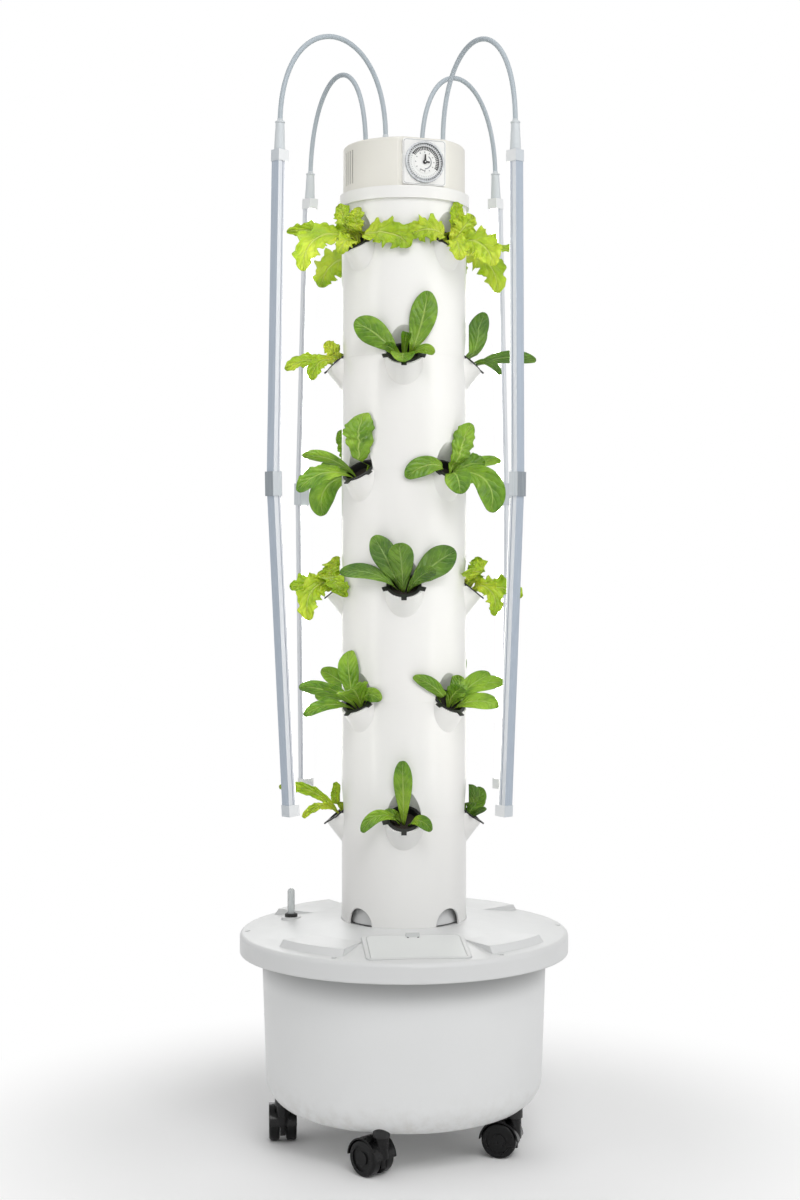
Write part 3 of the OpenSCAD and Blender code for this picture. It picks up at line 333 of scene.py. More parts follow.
def lamp_metal(i):
    """Painted aluminium with fine drawn lines, in a lit and a shaded copy: painted shade on the lamp's back and
    painted light on its sides.
    """
    n = Nodes(f"lamp_metal_{i + 1}")
    lines = n.noise(n.place((900, 900, 3)), 1.0, 4.0, 0.6)
    streak = n.spread(lines, *MIDDLE)
    # painted light and shade: the sides take a lit copy of the tone, the back a shaded copy
    sides = n.mix(streak, srgb("#d5d9df"), srgb("#dfe2e6"))
    shaded_back = n.mix(streak, srgb("#a7b2bf"), srgb("#b3bdc9"))
    n.color(n.mix(lamp_back_shade(n, i), sides, shaded_back))
    n.roughness(lines, 0.3, 0.46)
    n.bump(lines, 0.00005, 0.8, 0.0009)
    n.set(Metallic=0.3)
    return n.material


def clear_tube():
    """Clear plastic, denser towards the edges of the tube, where the wall is seen along its length."""
    n = Nodes("clear_tube")
    place = n.place()
    edge = n.add("ShaderNodeLayerWeight")
    edge.inputs["Blend"].default_value = 0.35
    streaks = n.mix(n.noise(n.place((1, 1, 0.1)), 400.0), srgb("#dfe3e3"), srgb("#cfd5d6"))
    n.color(n.mix(n.spread(edge.outputs["Facing"], 0.2, 0.75), streaks, srgb("#4c5256")))
    n.roughness(n.noise(place, 60.0), 0.05, 0.12)
    n.bump(n.noise(place, 20.0, 1.0), 0.00002, 0.2)
    n.set(Alpha=0.45, IOR=1.46, Coat_Weight=0.6, Coat_Roughness=0.03)
    return n.material


def glowing_cover(i):
    """Milky lamp cover, lit from inside by a row of small lights, with a seam along each side."""
    n = Nodes(f"lamp_cover_{i + 1}")
    place = n.place()
    beat = n.math("SINE", n.math("MULTIPLY", n.parts(place)["Z"], 2 * pi / LIGHT_PITCH))
    cloud = n.math("MULTIPLY", n.noise(place, 25.0), 0.1)
    glow = n.math("ADD", n.spread(beat, -1, 1, GLOW_LOW, GLOW_HIGH), cloud)
    across = n.math("ABSOLUTE", n.along(around(1, LAMP_BEARINGS[i] + 90, 0)))
    seam = n.band(across, *COVER_SEAM)
    shade = n.spread(seam, 0, 1, 1.0, 0.2)
    n.link(n.math("MULTIPLY", glow, shade), n.shader.inputs["Emission Strength"])
    milk = n.mix(n.noise(place, 20.0), srgb("#f7f7f4"), srgb("#efefec"))
    n.color(n.mix(seam, milk, srgb("#b9bcbf")))
    n.roughness(n.noise(place, 60.0), 0.3, 0.45)
    n.bump(n.noise(place, 900.0), 0.00004)
    n.set(Emission_Color=srgb("#fffdf4"))
    return n.material


def lamp_fitting(i):
    """Pale end caps and, half way up the lamp, a darker metal sleeve, both with painted shade on the lamp's back.
    """
    n = Nodes(f"lamp_fitting_{i + 1}")
    place = n.place()
    sleeve = n.band(n.parts(place)["Z"], *SLEEVE)
    shaded_back = lamp_back_shade(n, i)
    lines = n.noise(n.place((700, 700, 4)), 1.0, 4.0)
    streak = n.spread(lines, *MIDDLE)
    # painted shade: the sleeve and the caps take darker copies of their tones on the lamp's back
    metal = n.mix(shaded_back, n.mix(streak, srgb("#b9bfc4"), srgb("#c8cdd1")),
                  n.mix(streak, srgb("#868d93"), srgb("#979ea4")))
    caps = n.mix(n.noise(place, 30.0), srgb("#e6e9eb"), srgb("#eff0f1"))
    n.color(n.mix(sleeve, n.mix(shaded_back, caps, srgb("#cdd3d8")), metal))
    n.link(n.math("MULTIPLY", sleeve, 0.5), n.shader.inputs["Metallic"])
    n.roughness(lines, 0.3, 0.44)
    n.bump(lines, 0.00004, 0.6, 0.0008)
    return n.material


def head_plastic():
    """Ivory plastic, with painted shade on each vent slot's walls, darker with depth."""
    n = Nodes("head_ivory")
    place = n.place()
    parts = n.parts(place)
    right = n.along((cos(HEAD_TURN), sin(HEAD_TURN), 0))
    ahead = n.along((sin(HEAD_TURN), -cos(HEAD_TURN), 0))
    bearing = n.math("ABSOLUTE", n.math("ARCTAN2", right, ahead))
    count = n.math("DIVIDE", n.math("SUBTRACT", bearing, VENT_FIRST), VENT_STEP)
    off = n.from_half(n.math("FRACT", n.math("ADD", count, 0.5)))
    depth = n.spread(n.reach(parts["X"], parts["Y"]), HEAD_R - VENT_SHALLOW, HEAD_R - VENT_DEEP)
    # painted shade on each vent slot's walls, darker with depth below the surface
    slot_shade = n.both(n.under(off, VENT_HALF), n.band(count, -VENT_SPARE, VENT_COUNT - 1 + VENT_SPARE),
                   n.band(parts["Z"], VENT_LOW, VENT_HIGH), depth)
    n.color(n.mix(slot_shade, n.drift(place, "#e6e4dc", "#e1dfd6"), srgb("#2a2722")))
    n.roughness(n.noise(place, PATCH_SCALE, 4.0), 0.34, 0.46)
    n.bump(n.noise(place, GRAIN_SCALE, 2.0), 0.00006, edge=0.001)
    return n.material


def hatch_plastic():
    """Hatch's plastic, greyer on its finger tab, with two small dark stops in front of the tab."""
    n = Nodes("hatch_white")
    place = n.place()
    side = n.math("ABSOLUTE", n.along((cos(LID_TURN), sin(LID_TURN), 0)))
    out = n.along((sin(LID_TURN), -cos(LID_TURN), 0))
    tab = n.both(n.under(side, TAB_HALF), n.under(out, TAB_FRONT))
    tones = n.mix(tab, n.drift(place, "#e3e5e4", "#e0e2e1"), srgb("#c3c5c5"))
    stops = n.reach(n.math("SUBTRACT", side, STOP_SIDE), n.math("SUBTRACT", out, STOP_OUT))
    n.color(n.mix(n.under(stops, STOP_R), tones, srgb("#3c3d3d")))
    n.roughness(n.noise(place, PATCH_SCALE, 4.0), 0.33, 0.43)
    n.bump(n.noise(place, GRAIN_SCALE, 2.0), 0.00006, edge=0.0008)
    n.set(IOR=1.49)
    return n.material


def from_timer(n):
    """Millimetres to the right of the timer's middle, above it and away from it, and the bearing."""
    right = n.math("MULTIPLY", n.along((cos(HEAD_TURN), sin(HEAD_TURN), 0)), 1000)
    up = n.math("MULTIPLY", n.math("SUBTRACT", n.along((0, 0, 1)), TIMER_Z), 1000)
    return right, up, n.reach(right, up), n.math("ARCTAN2", up, right)


def timer_face():
    """Timer's plate with a fine outline, a silver bezel and a clock face with hour marks."""
    n = Nodes("timer_white")
    place = n.place()
    right, up, away, bearing = from_timer(n)
    past = [n.math("MAXIMUM", n.math("SUBTRACT", n.math("ABSOLUTE", p), PLATE_FLAT), 0.0) for p in (right, up)]
    bezel = n.band(away, *BEZEL)
    silver = n.mix(n.spread(n.noise(place, 300.0), 0.4, 0.6), srgb("#b7babd"), srgb("#cccfd1"))
    hour = n.math("GREATER_THAN", n.from_half(n.steps(bearing, HOUR_COUNT)), HOUR_EDGE)
    dash = n.under(n.steps(bearing, DASH_COUNT), DASH_SHARE)
    tones = n.mix(n.noise(place, 40.0), srgb("#f0f0ee"), srgb("#e9e9e7"))
    tones = n.mix(n.band(n.reach(*past), *PLATE_LINE), tones, srgb("#b3b5b5"))
    tones = n.mix(bezel, tones, silver)
    tones = n.mix(n.band(away, *DIAL_GROUND), tones, srgb("#85888b"))
    tones = n.mix(n.both(n.band(away, *HOUR_MARKS), hour), tones, srgb("#7d8083"))
    tones = n.mix(n.both(n.band(away, *ARC), n.band(bearing, *ARC_TURN)), tones, srgb("#85898c"))
    tones = n.mix(n.both(n.band(away, *DASHES), n.band(bearing, *DASH_TURN), dash), tones, srgb("#1c1c1c"))
    n.color(tones)
    n.link(n.math("MULTIPLY", bezel, 0.5), n.shader.inputs["Metallic"])
    n.roughness(n.noise(place, PATCH_SCALE, 4.0), 0.22, 0.32)
    n.bump(n.noise(place, GRAIN_SCALE, 2.0), 0.00003, edge=0.0006)
    return n.material


def dial_rings():
    """Silver tappets round a pale scale, with dark blocks over the hours that are set."""
    n = Nodes("dial_silver")
    place = n.place()
    _, _, away, bearing = from_timer(n)
    step = n.steps(bearing, TAPPET_COUNT)
    later = n.band(bearing, *SET_TURN)
    ticks = n.both(n.band(away, *TICKS), n.under(step, TICK_SHARE))
    inner = n.both(n.band(away, *SET_INNER), n.under(step, SET_INNER_SHARE), later)
    outer = n.both(n.band(away, *SET_OUTER), n.under(step, SET_OUTER_SHARE), later)
    tones = n.mix(n.noise(place, 300.0), srgb("#cdd0d2"), srgb("#dcdedf"))
    tones = n.mix(n.under(away, SCALE_R), tones, srgb("#e9eae8"))
    tones = n.mix(ticks, tones, srgb("#74787b"))
    tones = n.mix(inner, tones, srgb("#1a1c1e"))
    tones = n.mix(outer, tones, srgb("#2a2c2f"))
    n.color(tones)
    n.roughness(n.noise(place, WORN_PATCH_SCALE, 4.0), 0.28, 0.42)
    n.bump(n.noise(place, WORN_GRAIN_SCALE, 2.0), 0.00005)
    return n.material


def fibre_plug():
    """Growing plug: dark matted fibres."""
    n = Nodes("fibre_plug")
    place = n.place()
    strands = n.noise(n.place((1, 3, 2)), 260.0, 6.0, 0.75)
    n.color(n.mix(n.spread(strands, *MIDDLE), srgb("#14100d"), srgb("#342a20")))
    n.roughness(strands, 0.8, 0.95)
    n.bump(n.math("ADD", strands, n.noise(place, 900.0)), 0.0012)
    return n.material


def leaf_material(name, blade, pale, deep, rib, crinkle=0.0014, ribs=7.0):
    """Leaf: mottled blade, lighter towards its stalk, with faint veins and a puckered, glossy surface."""
    n = Nodes(name)
    place = n.place()
    uv = n.parts(n.add("ShaderNodeUVMap", uv_map="leaf").outputs["UV"])
    out, along = n.from_half(uv["X"]), uv["Y"]
    wander = n.math("MULTIPLY", n.math("SUBTRACT", n.noise(place, 55.0), 0.5), 0.22)
    bow = n.math("SUBTRACT", along, n.math("MULTIPLY", out, 0.6))
    near = n.from_half(n.math("FRACT", n.math("MULTIPLY", n.math("ADD", bow, wander), ribs)))
    side = n.both(n.spread(near, 0.12, 0.02), n.spread(out, 0.46, 0.15))
    width = n.spread(along, 0.0, 1.0, 0.08, 0.01)
    mid = n.spread(n.math("DIVIDE", out, width), 1.0, 0.3)
    veins = n.math("MAXIMUM", n.math("MULTIPLY", side, 0.3), n.math("MULTIPLY", mid, 0.75))
    mottle = n.spread(n.noise(place, 70.0, 5.0, 0.6), 0.35, 0.68)
    clouds = n.spread(n.noise(place, 22.0), 0.45, 0.75)
    patches = n.math("ADD", clouds, n.spread(along, 0.45, 0.0, 0.0, 0.5))
    tones = n.mix(patches, n.mix(mottle, srgb(deep), srgb(blade)), srgb(pale))
    n.color(n.mix(veins, tones, srgb(rib)))
    n.roughness(n.noise(place, 120.0), 0.26, 0.46)
    dimples = n.math("MULTIPLY", n.noise(place, 150.0), 0.8)
    pucker = n.math("ADD", n.math("MULTIPLY", near, 1.1), dimples)
    n.bump(n.math("SUBTRACT", pucker, veins), crinkle)
    n.set(Subsurface_Weight=0.25, Subsurface_Scale=0.003, Subsurface_Radius=(0.6, 1.0, 0.1), IOR=1.42)
    return n.material


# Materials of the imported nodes

tower_white = moulded("tower_white", "#ebebe9", "#e9e8e6", 0.3, 0.00002, 0.0008, 0.12, patchy=0.012)
# the tub's top, under the lid's skirt, is darkened with a painted shadow from 0.240 m up
tub_white = moulded("tub_white", "#e7e8e8", "#e4e5e5", 0.42, 0.00006, 0.0012, dust=("#c4c1ba", 0.13),
                    painted_shade=("#a6a7a7", 0.240, 0.290), mark=("#0e0e0f", caster_bosses))
lid_white = moulded("lid_white", "#dcdddd", "#d9dada", 0.4, 0.00006, 0.003)
hatch_white = hatch_plastic()
hand_black = scuffed("hand_black", "#121212", 0.3, "#303030", amount=0.2)
cup_black = scuffed("cup_black", "#161617", 0.42, "#3c3c3d", edge=0.0004)
hood_black = scuffed("hood_black", "#0a0a0b", 0.24, "#2c2c2e", coat=0.2, edge=0.0008, amount=0.3, gloss=0.2)
wheel_black = scuffed("wheel_black", "#0b0b0c", 0.32, "#3c3b38", edge=0.0006, amount=0.35, gloss=0.25)
rubber_black = scuffed("rubber_black", "#141414", 0.6, "#3a3a3a")
float_pale = moulded("float_pale", "#bfc3c4", "#b2b6b8", 0.3)
pump_black = scuffed("pump_black", "#1e2023", 0.45, "#45484c")
impeller_white = moulded("impeller_white", "#c9d2d6", "#bcc6cb", 0.3)
pipe_white = moulded("pipe_white", "#e6e6e2", "#dededa", 0.35)
driver_grey = moulded("driver_grey", "#cfd1d3", "#c6c8ca", 0.5)
arm_grey = moulded("arm_grey", "#b7c0c6", "#acb6bd", 0.42, 0.00004)
plug_grey = moulded("plug_grey", "#d3d8db", "#cbd1d4", 0.4, 0.00004, 0.0004)
plug_brown = fibre_plug()

dress = {
    "reservoir_tub": tub_white, "reservoir_lid": lid_white, "access_hatch": hatch_white,
    "level_grommet": rubber_black, "level_tube": clear_tube(), "level_float": float_pale,
    "tower_foot": tower_white, "tower_neck": tower_white, "head_shell": head_plastic(),
    "timer_plate": timer_face(), "timer_dial": dial_rings(),
    "hour_hand": hand_black, "minute_hand": hand_black, "lamp_driver": driver_grey,
    "pump_body": pump_black, "pump_strainer": pump_black, "pump_impeller": impeller_white,
    "riser_pipe": pipe_white, "spray_head": pipe_white, "grow_plugs": plug_brown,
    "net_cups_lower": cup_black, "net_cups_middle": cup_black, "net_cups_upper": cup_black,
}
for i in range(1, 6):
    dress[f"tower_ring_{i}"] = tower_white
    dress[f"caster_hood_{i}"] = hood_black
    dress[f"caster_wheels_{i}"] = wheel_black
for i in range(1, 5):
    dress[f"lamp_housing_{i}"] = lamp_metal(i - 1)
    dress[f"lamp_diffuser_{i}"] = glowing_cover(i - 1)
    dress[f"lamp_fittings_{i}"] = lamp_fitting(i - 1)
for name, material in dress.items():
    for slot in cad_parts[name].material_slots:
        slot.material = material


# Meshes and objects

def new_mesh(name, verts, faces):
    mesh = bpy.data.meshes.new(name)
    mesh.from_pydata(verts, [], faces)
    return mesh


def new_object(name, data):
    made = bpy.data.objects.new(name, data)
    bpy.context.scene.collection.objects.link(made)
    return made


def piece(name, mesh, body, slot, *materials):
    """A new object that rides on a body, with the materials given and smooth faces; the slot is not used."""
    made = new_object(name, mesh)
    for material in materials:
        mesh.materials.append(material)
    for face in mesh.polygons:
        face.use_smooth = True
    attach(made, body)
    return made


def skin(rings, closed=True, caps=True, start=0):
    """Faces between rings of equally many points, numbered from start."""
    n = len(rings[0])
    last = n if closed else n - 1
    faces = []
    for i in range(len(rings) - 1):
        for j in range(last):
            a, b = start + i * n + j, start + i * n + (j + 1) % n
            faces.append((a, b, b + n, a + n))
    if caps and closed:
        faces.append(tuple(start + j for j in reversed(range(n))))
        faces.append(tuple(start + (len(rings) - 1) * n + j for j in range(n)))
    return faces


def turned(profile, origin, axis, sides=TURNED_SIDES):
    """Rings of a profile turned about an axis."""
    turn = axis.to_track_quat("Z", "Y")
    return [[origin + turn @ Vector((r * cos(a), r * sin(a), h)) for a in circle(sides)] for r, h in profile]


# Arms: a ribbed flexible tube from the head's socket to the lamp's connector

def curve_point(p, t):
    """Point on the cubic curve with the control points p."""
    s = 1 - t
    return s ** 3 * p[0] + 3 * s ** 2 * t * p[1] + 3 * s * t * t * p[2] + t ** 3 * p[3]


def curve_slope(p, t):
    """Direction of that curve."""
    s = 1 - t
    return (s ** 2 * (p[1] - p[0]) + 2 * s * t * (p[2] - p[1]) + t * t * (p[3] - p[2])).normalized()


def build_arm(i):
    """One mesh of the tube, the ferrule at its foot and the connector on the lamp."""
    start = around(SOCKET_REACH, SOCKETS[i], HEAD_TOP + TUBE_FOOT)
    lean = radians(LAMP_LEANS[i])
    axis = around(-sin(lean), LAMP_BEARINGS[i], cos(lean))
    seat = around(LAMP_REACHES[i], LAMP_BEARINGS[i], LAMP_TOP)
    end = seat + axis * CONNECTOR_LENGTH
    rise = ARM_RISE * 4 / 3  # a cubic curve rises by 3/4 of what its control points do
    controls = (start, start + Vector((0, 0, rise)), end + axis * rise, end)
    flat = Vector((end.x - start.x, end.y - start.y, 0))
    across = UP.cross(flat).normalized()
    steps = RIB_COUNT * 2
    tube = []
    for s in range(steps + 1):
        middle = curve_point(controls, s / steps)
        over = curve_slope(controls, s / steps).cross(across).normalized()
        r = RIB_R if s % 2 else GROOVE_R
        tube.append([middle + r * (cos(a) * across + sin(a) * over) for a in circle(TUBE_SIDES)])
    socket = start - Vector((0, 0, FERRULE_SINK))
    verts, faces = [], []
    for rings in (tube, turned(FERRULE, socket, UP), turned(CONNECTOR, seat, axis)):
        faces += skin(rings, start=len(verts))
        verts += [v for ring in rings for v in ring]
    mesh = new_mesh(f"gooseneck_{i + 1}", verts, faces)
    tube_end = len(tube) * TUBE_SIDES
    for face in mesh.polygons:
        face.material_index = 1 if face.vertices[0] >= tube_end else 0
    made = piece(f"gooseneck_{i + 1}", mesh, f"lamp_{i + 1}", "arm_grey", arm_grey, plug_grey)
    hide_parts(f"lamp_arm_{i + 1}")


for i in range(4):
    build_arm(i)


# Collar on the lid inside the foot, behind the drain arches

def build_collar():
    """Turned ring without end caps: its profile starts and ends on the lid."""
    rings = turned(COLLAR, Vector((0, 0, 0)), UP, COLLAR_SIDES)
    mesh = new_mesh("drain_collar", [v for ring in rings for v in ring], skin(rings, caps=False))
    piece("drain_collar", mesh, "base", "white_plastic", lid_white)


build_collar()


# Plants. A leaf has a bearing from straight out, a first and a last elevation, a length, a width, a ruffle and a
# roll, in degrees and millimetres. Lengths stay in millimetres here until the plants' meshes are made.

Leaf = namedtuple("Leaf", "bearing first last length width ruffle roll")

MM = 0.001
FIRST_SEAM, RING_PITCH = 500, 172
POD_TILT = radians(38)
TOWER_R = 95.0
PLUG_SINK = 8.0
SCOOP_ZONE, SCOOP_HALF = 12.0, 17.0

# A leaf's clearance from the tower, its thickness, the width of its stalk and half that of its tip, then its foot's
# distance from the plug's middle if it starts level, and the elevation at which that would be 0
LEAF_CLEAR, LEAF_THICK, STALK, TIP_HALF = 4.0, 0.6, 4.0, 0.5
LEAF_ROOT, ROOT_UPRIGHT = 17.0, 110

# Outlines: powers that move the widest place and blunt the ends, for ruffle above BROAD_FROM and below it
BROAD_FROM, BROAD_OUTLINE, SLIM_OUTLINE = 2, (1.3, 0.6), (1.75, 0.62)

# Grids along and across, for ruffle above FINE_FROM and below it, with rows closer together towards the tip
FINE_FROM, FINE_GRID, PLAIN_GRID, ROW_POWER = 1, (46, 17), (24, 13), 1.5

# Form: share of the length in which the roll comes in, upward curve of the edges, and a least bend, so that a
# straight leaf has a radius
ROLL_SHARE, CUP, LEAST_BEND = 0.35, 0.18, 0.01

# Wobble: its noise's scales and steps from leaf to leaf, its height everywhere, at the edges and with ruffle, and
# how soon it grows
WOBBLE_ALONG, WOBBLE_ACROSS, WOBBLE_STEPS = 5.0, 1.6, (3.7, 1.9)
WOBBLE, WOBBLE_EDGE, WOBBLE_RUFFLE, WOBBLE_GROW = 0.9, 0.5, 0.4, 3

# Ruffle: how soon it grows and how late it ends, its phase from leaf to leaf and between a leaf's sides, and its
# waves up and down and in the outline, each with a size, a rate along the leaf and a share of the phase
RUFFLE_GROW, RUFFLE_END = 2.2, 8
PHASE_STEP, PHASE_SIDE = 2.1, 1.6
CURL_WAVES, CURL_POWER = ((1.0, 24, 1.0), (0.55, 57, 1.7)), 2.5
LOBE_WAVES, LOBE_DEPTH = ((1.0, 36, 1.3), (0.6, 71, 1.0)), 0.055

ruffled_left = [(-65, 76, 49, 72, 29, 4, -64), (-37, 38, -13, 108, 23, 4, 52),
                (-17, 50, -100, 130, 40, 4, -57), (12, 50, -88, 63, 25, 3, -40),
                (131, 75, 93, 52, 25, 3, -69), (105, 43, -63, 85, 40, 4, 71)]
ruffled_right = [(159, 64, 82, 63, 21, 2, -15), (-105, 55, -46, 69, 37, 4, -78),
                 (23, 60, 41, 58, 33, 4, -59), (14, 39, -88, 94, 43, 4, 70),
                 (-23, 50, -114, 67, 29, 3, 23)]
pair = [(74, 64, 83, 104, 40, 0, -71), (-75, 57, 18, 87, 40, 0, 78), (-2, 52, -68, 51, 35, 0, -1),
        (46, 54, -43, 59, 17, 0, 60), (6, 85, -15, 66, 15, 0, -13), (-42, 56, 1, 42, 16, 0, 53)]
lime_side = [(0, 70, 40, 46, 24, 2, -72), (6, 38, -41, 89, 23, 2, -62), (30, 52, -100, 72, 23, 2, -56),
             (-63, 80, 61, 34, 15, 2, -23)]
dark_side = [(-3, 74, 67, 88, 31, 0, -78), (-4, 32, -18, 106, 21, 0, -63), (-20, 45, -71, 63, 13, 0, 54)]
curled = [(134, 58, 97, 92, 45, 1.5, -80), (-41, 52, -8, 91, 19, 0, 62), (-30, 34, -60, 99, 28, 1.5, -76),
          (-66, 48, -14, 62, 17, 1.5, -69)]
broad = [(-110, 48, -65, 73, 31, 0, -69), (39, 78, 56, 86, 33, 1.5, -76), (55, 56, -13, 58, 30, 1.5, 79),
         (22, 40, -120, 109, 41, 0, 67), (-26, 43, -96, 71, 39, 0, 26)]
fan = [(-76, 71, 56, 91, 37, 0, 76), (-10, 78, 47, 83, 38, 0, 11), (80, 56, 25, 92, 43, 0, -84),
       (-92, 49, -16, 94, 27, 0, -57), (41, 56, 1, 72, 22, 0, -59)]
frill_left = [(-43, 79, 63, 56, 30, 4, -44), (10, 39, -26, 80, 32, 4, -63),
              (36, 55, -126, 109, 33, 4, -59), (91, 78, -103, 76, 35, 4, 1)]
frill_right = [(-111, 78, -27, 64, 34, 4, 48), (30, 66, 63, 59, 25, 4, 48), (-5, 35, -41, 87, 32, 4, 61),
               (-32, 53, -126, 87, 25, 4, 54)]
bushy = [(-78, 84, 85, 83, 31, 0, -57), (-45, 46, -6, 93, 24, 0, 72), (-31, 30, -42, 82, 19, 0, -61),
         (29, 64, -15, 77, 45, 1.5, 25), (119, 70, -50, 51, 22, 0, 72), (-21, 52, 13, 68, 16, 0, 62)]
leafy = [(-115, 50, 23, 72, 21, 0, 71), (52, 58, 22, 78, 28, 0, 77), (25, 78, 59, 51, 28, 0, -71),
         (-16, 70, -3, 60, 28, 1.5, -31), (29, 37, -25, 73, 25, 0, 73)]
single = [(-5, 82, 71, 100, 28, 0, 5), (-53, 57, -65, 83, 19, 0, -70), (44, 50, -56, 55, 19, 0, 69),
          (-93, 78, -13, 32, 14, 0, -87)]
wisp = [(-6, 60, -9, 113, 17, 1.5, -71), (30, 61, -53, 78, 13, 1.5, -50), (-50, 74, 61, 54, 15, 1.5, -34)]
stub = [(-91, 88, 72, 49, 17, 0, 1), (3, 60, 70, 52, 28, 0, 83), (-29, 40, 23, 36, 12, 0, -45)]

# Plant in each pod, row by row from the bottom, starting at the front
planting = [
    [single, stub, leafy, wisp],
    [bushy, leafy, bushy, leafy],
    [fan, frill_right, fan, frill_left],
    [curled, broad, curled, broad],
    [pair, dark_side, pair, lime_side],
    [ruffled_left, ruffled_right, ruffled_left, ruffled_right],
]

leaf_green = leaf_material("leaf_green", "#729a1e", "#9cbf34", "#4f7714", "#aec868")
leaf_dark = leaf_material("leaf_dark", "#5b7f25", "#84a838", "#3f641b", "#98b563")
leaf_lime = leaf_material("leaf_lime", "#adc91e", "#cfdf42", "#8cad18", "#cfe077", 0.002, 6.0)
lime_plants = (ruffled_left, ruffled_right, frill_left, frill_right, lime_side, wisp)
dark_plants = (fan, dark_side, stub)


def leaf_half(leaf, t):
    """Half the leaf's width at a share of its length."""
    rise, blunt = BROAD_OUTLINE if leaf.ruffle > BROAD_FROM else SLIM_OUTLINE
    return STALK / 2 + (leaf.width - STALK) / 2 * max(0.0, sin(pi * t ** rise)) ** blunt


def leaf_mid(leaf, t):
    """Distance out and up from the leaf's foot, along its bend, at a share of its length."""
    first = radians(leaf.first)
    bend = radians(leaf.last - leaf.first - LEAST_BEND)
    out = leaf.length / bend * (sin(first + bend * t) - sin(first))
    up = leaf.length / bend * (cos(first) - cos(first + bend * t))
    return out, up


def leaf_foot(leaf):
    """Where the leaf's stalk stands on the plug, in the pod's own frame."""
    b = radians(leaf.bearing)
    root = LEAF_ROOT * (1 - leaf.first / ROOT_UPRIGHT)
    down = Vector((cos(POD_TILT), 0, -sin(POD_TILT)))
    return (Vector((TOWER_R, 0, 0)) + root * (cos(b) * down + sin(b) * Vector((0, 1, 0)))
            - PLUG_SINK * Vector((sin(POD_TILT), 0, cos(POD_TILT))))


def wall_push(p):
    """How far a point has to move outward to stand clear of the tower's wall."""
    wall = TOWER_R + LEAF_CLEAR
    if (p.z < SCOOP_ZONE and abs(p.y) < SCOOP_HALF) or abs(p.y) > wall:
        return 0.0
    return max(0.0, sqrt(wall * wall - p.y * p.y) - p.x)


def waves(kind, t, phase):
    """Sum of a ruffle's waves at a share of the leaf's length."""
    return sum(size * sin(t * rate + share * phase) for size, rate, share in kind)


def build_leaf(leaf, seed):
    """Rows of points across a leaf, with its ruffle and curl, in the pod's own frame."""
    b = radians(leaf.bearing)
    ahead = Vector((cos(b), sin(b), 0))
    level = Vector((-sin(b), cos(b), 0))
    foot = leaf_foot(leaf)
    along, columns = FINE_GRID if leaf.ruffle > FINE_FROM else PLAIN_GRID
    rows = []
    for i in range(along + 1):
        t = 1 - (1 - i / along) ** ROW_POWER
        rise = radians(leaf.first + (leaf.last - leaf.first) * t)
        upper = UP * cos(rise) - ahead * sin(rise)
        roll = radians(leaf.roll) * min(1.0, t / ROLL_SHARE)
        side = level * cos(roll) + upper * sin(roll)
        normal = upper * cos(roll) - level * sin(roll)
        out, up = leaf_mid(leaf, t)
        mid = foot + ahead * out + UP * up
        half = leaf_half(leaf, t) if i < along else TIP_HALF
        grown = min(1.0, RUFFLE_GROW * t) * (1 - t ** RUFFLE_END)
        row = []
        for j in range(columns):
            u = 2 * j / (columns - 1) - 1
            edge = abs(u) ** 2
            spot = (t * WOBBLE_ALONG + seed * WOBBLE_STEPS[0], u * WOBBLE_ACROSS, seed * WOBBLE_STEPS[1])
            height = (WOBBLE + WOBBLE_EDGE * edge + WOBBLE_RUFFLE * leaf.ruffle) * noise.noise(Vector(spot))
            lift = CUP * half * edge + height * min(1.0, WOBBLE_GROW * t)
            reach = half * u
            if leaf.ruffle:
                phase = seed * PHASE_STEP + (PHASE_SIDE if u > 0 else 0.0)
                lift += leaf.ruffle * waves(CURL_WAVES, t, phase) * abs(u) ** CURL_POWER * grown
                reach *= 1 + LOBE_DEPTH * leaf.ruffle * waves(LOBE_WAVES, t, phase) * edge * grown
            row.append(mid + side * reach + normal * lift)
        push = max(wall_push(p) for p in row)
        rows.append([p + Vector((push, 0, 0)) for p in row])
    return rows


def pod_place(k, i):
    """Frame of a row's pod: the rows are turned by 45 degrees from one to the next."""
    bearing = (-90 if k % 2 == 0 else -135) + 90 * i
    return Matrix.Translation((0, 0, FIRST_SEAM + RING_PITCH * k)) @ Matrix.Rotation(radians(bearing), 4, "Z")


def build_plants(name, node, rows_of_pods):
    """One mesh of the leaves in some rows of pods, with a map along and across each leaf."""
    verts, faces, coords, tones = [], [], [], []
    for k in rows_of_pods:
        for i, plant in enumerate(planting[k]):
            place = pod_place(k, i)
            tone = 2 if plant in lime_plants else 1 if plant in dark_plants else 0
            for number, values in enumerate(plant):
                grid = build_leaf(Leaf(*values), seed=1 + k * 7 + i * 3 + number)
                made = skin(grid, closed=False, start=len(verts))
                faces += made
                tones += [tone] * len(made)
                for r, row in enumerate(grid):
                    for c, point in enumerate(row):
                        verts.append((place @ point) * MM)
                        coords.append((c / (len(row) - 1), r / (len(grid) - 1)))
    mesh = new_mesh(name, verts, faces)
    layer = mesh.uv_layers.new(name="leaf")
    for loop in mesh.loops:
        layer.data[loop.index].uv = coords[loop.vertex_index]
    for face, tone in zip(mesh.polygons, tones):
        face.material_index = tone
    made = piece(name, mesh, "base", "leaf", leaf_green, leaf_dark, leaf_lime)
    thick = made.modifiers.new("thickness", "SOLIDIFY")
    thick.thickness = LEAF_THICK * MM
    thick.offset = 0
    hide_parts(node)


build_plants("foliage_lower", "plants_lower", (0, 1))
build_plants("foliage_middle", "plants_middle", (2, 3))
build_plants("foliage_upper", "plants_upper", (4, 5))


# Floor, light and camera

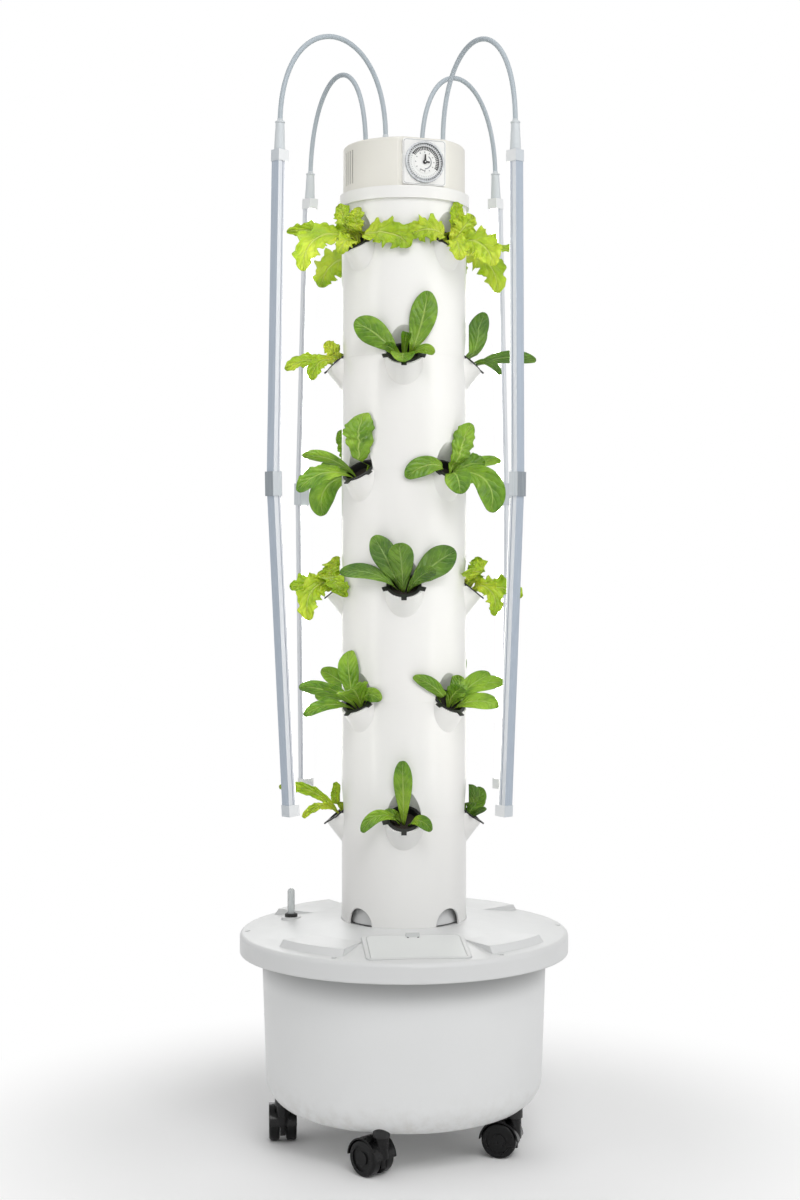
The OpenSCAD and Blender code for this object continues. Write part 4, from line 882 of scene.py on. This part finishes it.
FLOOR_R, FLOOR_SIDES = 9, 64
SHADOW_FROM, SHADOW_TO = 0.35, 0.85
AMBIENT = 0.42
SENSOR = 36
CAMERA_BACK, CAMERA_UP = 2.82, 0.868

# The picture's height, the focal length and the shift, in the picture's pixels
PICTURE_HIGH, FOCAL, SHIFT_X, SHIFT_Y = 1200, 1845, -4, -30


def build_floor():
    """A pale floor that takes the shadow near the object and is plain white further out."""
    rim = [(FLOOR_R * cos(a), FLOOR_R * sin(a), 0) for a in circle(FLOOR_SIDES)]
    mesh = new_mesh("floor", rim, [tuple(range(FLOOR_SIDES))])
    floor = new_object("floor", mesh)
    n = Nodes("floor_white")
    place = n.place()
    spot = n.add("ShaderNodeVectorMath", operation="LENGTH")
    n.link(place, spot.inputs[0])
    far = n.spread(spot.outputs["Value"], SHADOW_FROM, SHADOW_TO, smooth=True)
    n.color(n.mix(n.noise(place, 3.0), srgb("#fbfbfb"), srgb("#f8f8f8")))
    n.roughness(n.noise(place, 20.0), 0.85, 0.95)
    glow = n.add("ShaderNodeEmission")
    path = n.add("ShaderNodeLightPath")
    seen = n.math("MAXIMUM", path.outputs["Is Camera Ray"],
                  n.math("MAXIMUM", path.outputs["Is Glossy Ray"], path.outputs["Is Transmission Ray"]))
    both = n.add("ShaderNodeMixShader")
    n.link(n.math("MULTIPLY", far, seen), both.inputs["Fac"])
    n.link(n.shader.outputs["BSDF"], both.inputs[1])
    n.link(glow.outputs["Emission"], both.inputs[2])
    n.link(both.outputs["Shader"], n.tree.nodes["Material Output"].inputs["Surface"])
    mesh.materials.append(n.material)


def build_world():
    """Plain ambient light, seen as white by the camera, in reflections and through glass."""
    world = bpy.data.worlds.new("studio")
    bpy.context.scene.world = world
    world.use_nodes = True
    tree = world.node_tree
    background = tree.nodes["Background"]
    background.inputs["Color"].default_value = (1, 1, 1, 1)
    path = tree.nodes.new("ShaderNodeLightPath")
    first = tree.nodes.new("ShaderNodeMath")
    second = tree.nodes.new("ShaderNodeMath")
    first.operation = second.operation = "MAXIMUM"
    tree.links.new(path.outputs["Is Camera Ray"], first.inputs[0])
    tree.links.new(path.outputs["Is Glossy Ray"], first.inputs[1])
    tree.links.new(first.outputs["Value"], second.inputs[0])
    tree.links.new(path.outputs["Is Transmission Ray"], second.inputs[1])
    level = tree.nodes.new("ShaderNodeMapRange")
    level.inputs["To Min"].default_value = AMBIENT
    level.inputs["To Max"].default_value = 1.0
    tree.links.new(second.outputs["Value"], level.inputs["Value"])
    tree.links.new(level.outputs["Result"], background.inputs["Strength"])


def build_light(name, place, aim, size, power):
    """A soft box of a size in metres and a power in watts."""
    data = bpy.data.lights.new(name, "AREA")
    data.shape = "RECTANGLE"
    data.size, data.size_y = size
    data.energy = power
    light = new_object(name, data)
    light.location = place
    light.rotation_euler = (Vector(aim) - Vector(place)).to_track_quat("-Z", "Y").to_euler()


def build_camera():
    """A level camera in front of the tower, with the photograph's framing."""
    data = bpy.data.cameras.new("camera")
    data.sensor_fit = "VERTICAL"
    data.sensor_height = SENSOR
    data.lens = SENSOR * FOCAL / PICTURE_HIGH
    data.shift_x = SHIFT_X / PICTURE_HIGH
    data.shift_y = SHIFT_Y / PICTURE_HIGH
    camera = new_object("camera", data)
    camera.location = (0, -CAMERA_BACK, CAMERA_UP)
    camera.rotation_euler = (radians(90), 0, 0)
    bpy.context.scene.camera = camera


build_floor()
build_world()
build_light("front_box", (0.9, -3.1, 3.5), (0, 0, 0.7), (2.2, 1.8), 66)
build_light("left_box", (-2.6, -1.4, 1.9), (0, 0, 0.8), (1.4, 2.2), 9)
build_light("right_box", (2.6, -1.4, 1.9), (0, 0, 0.8), (1.4, 2.2), 13)
build_light("back_box", (-0.4, 3.4, 2.2), (0, 0, 0.8), (2.4, 1.8), 22)
build_light("top_box", (0, -0.2, 3.4), (0, 0, 0.4), (1.6, 1.6), 5)
build_camera()
bpy.context.scene.view_settings.view_transform = "Standard"
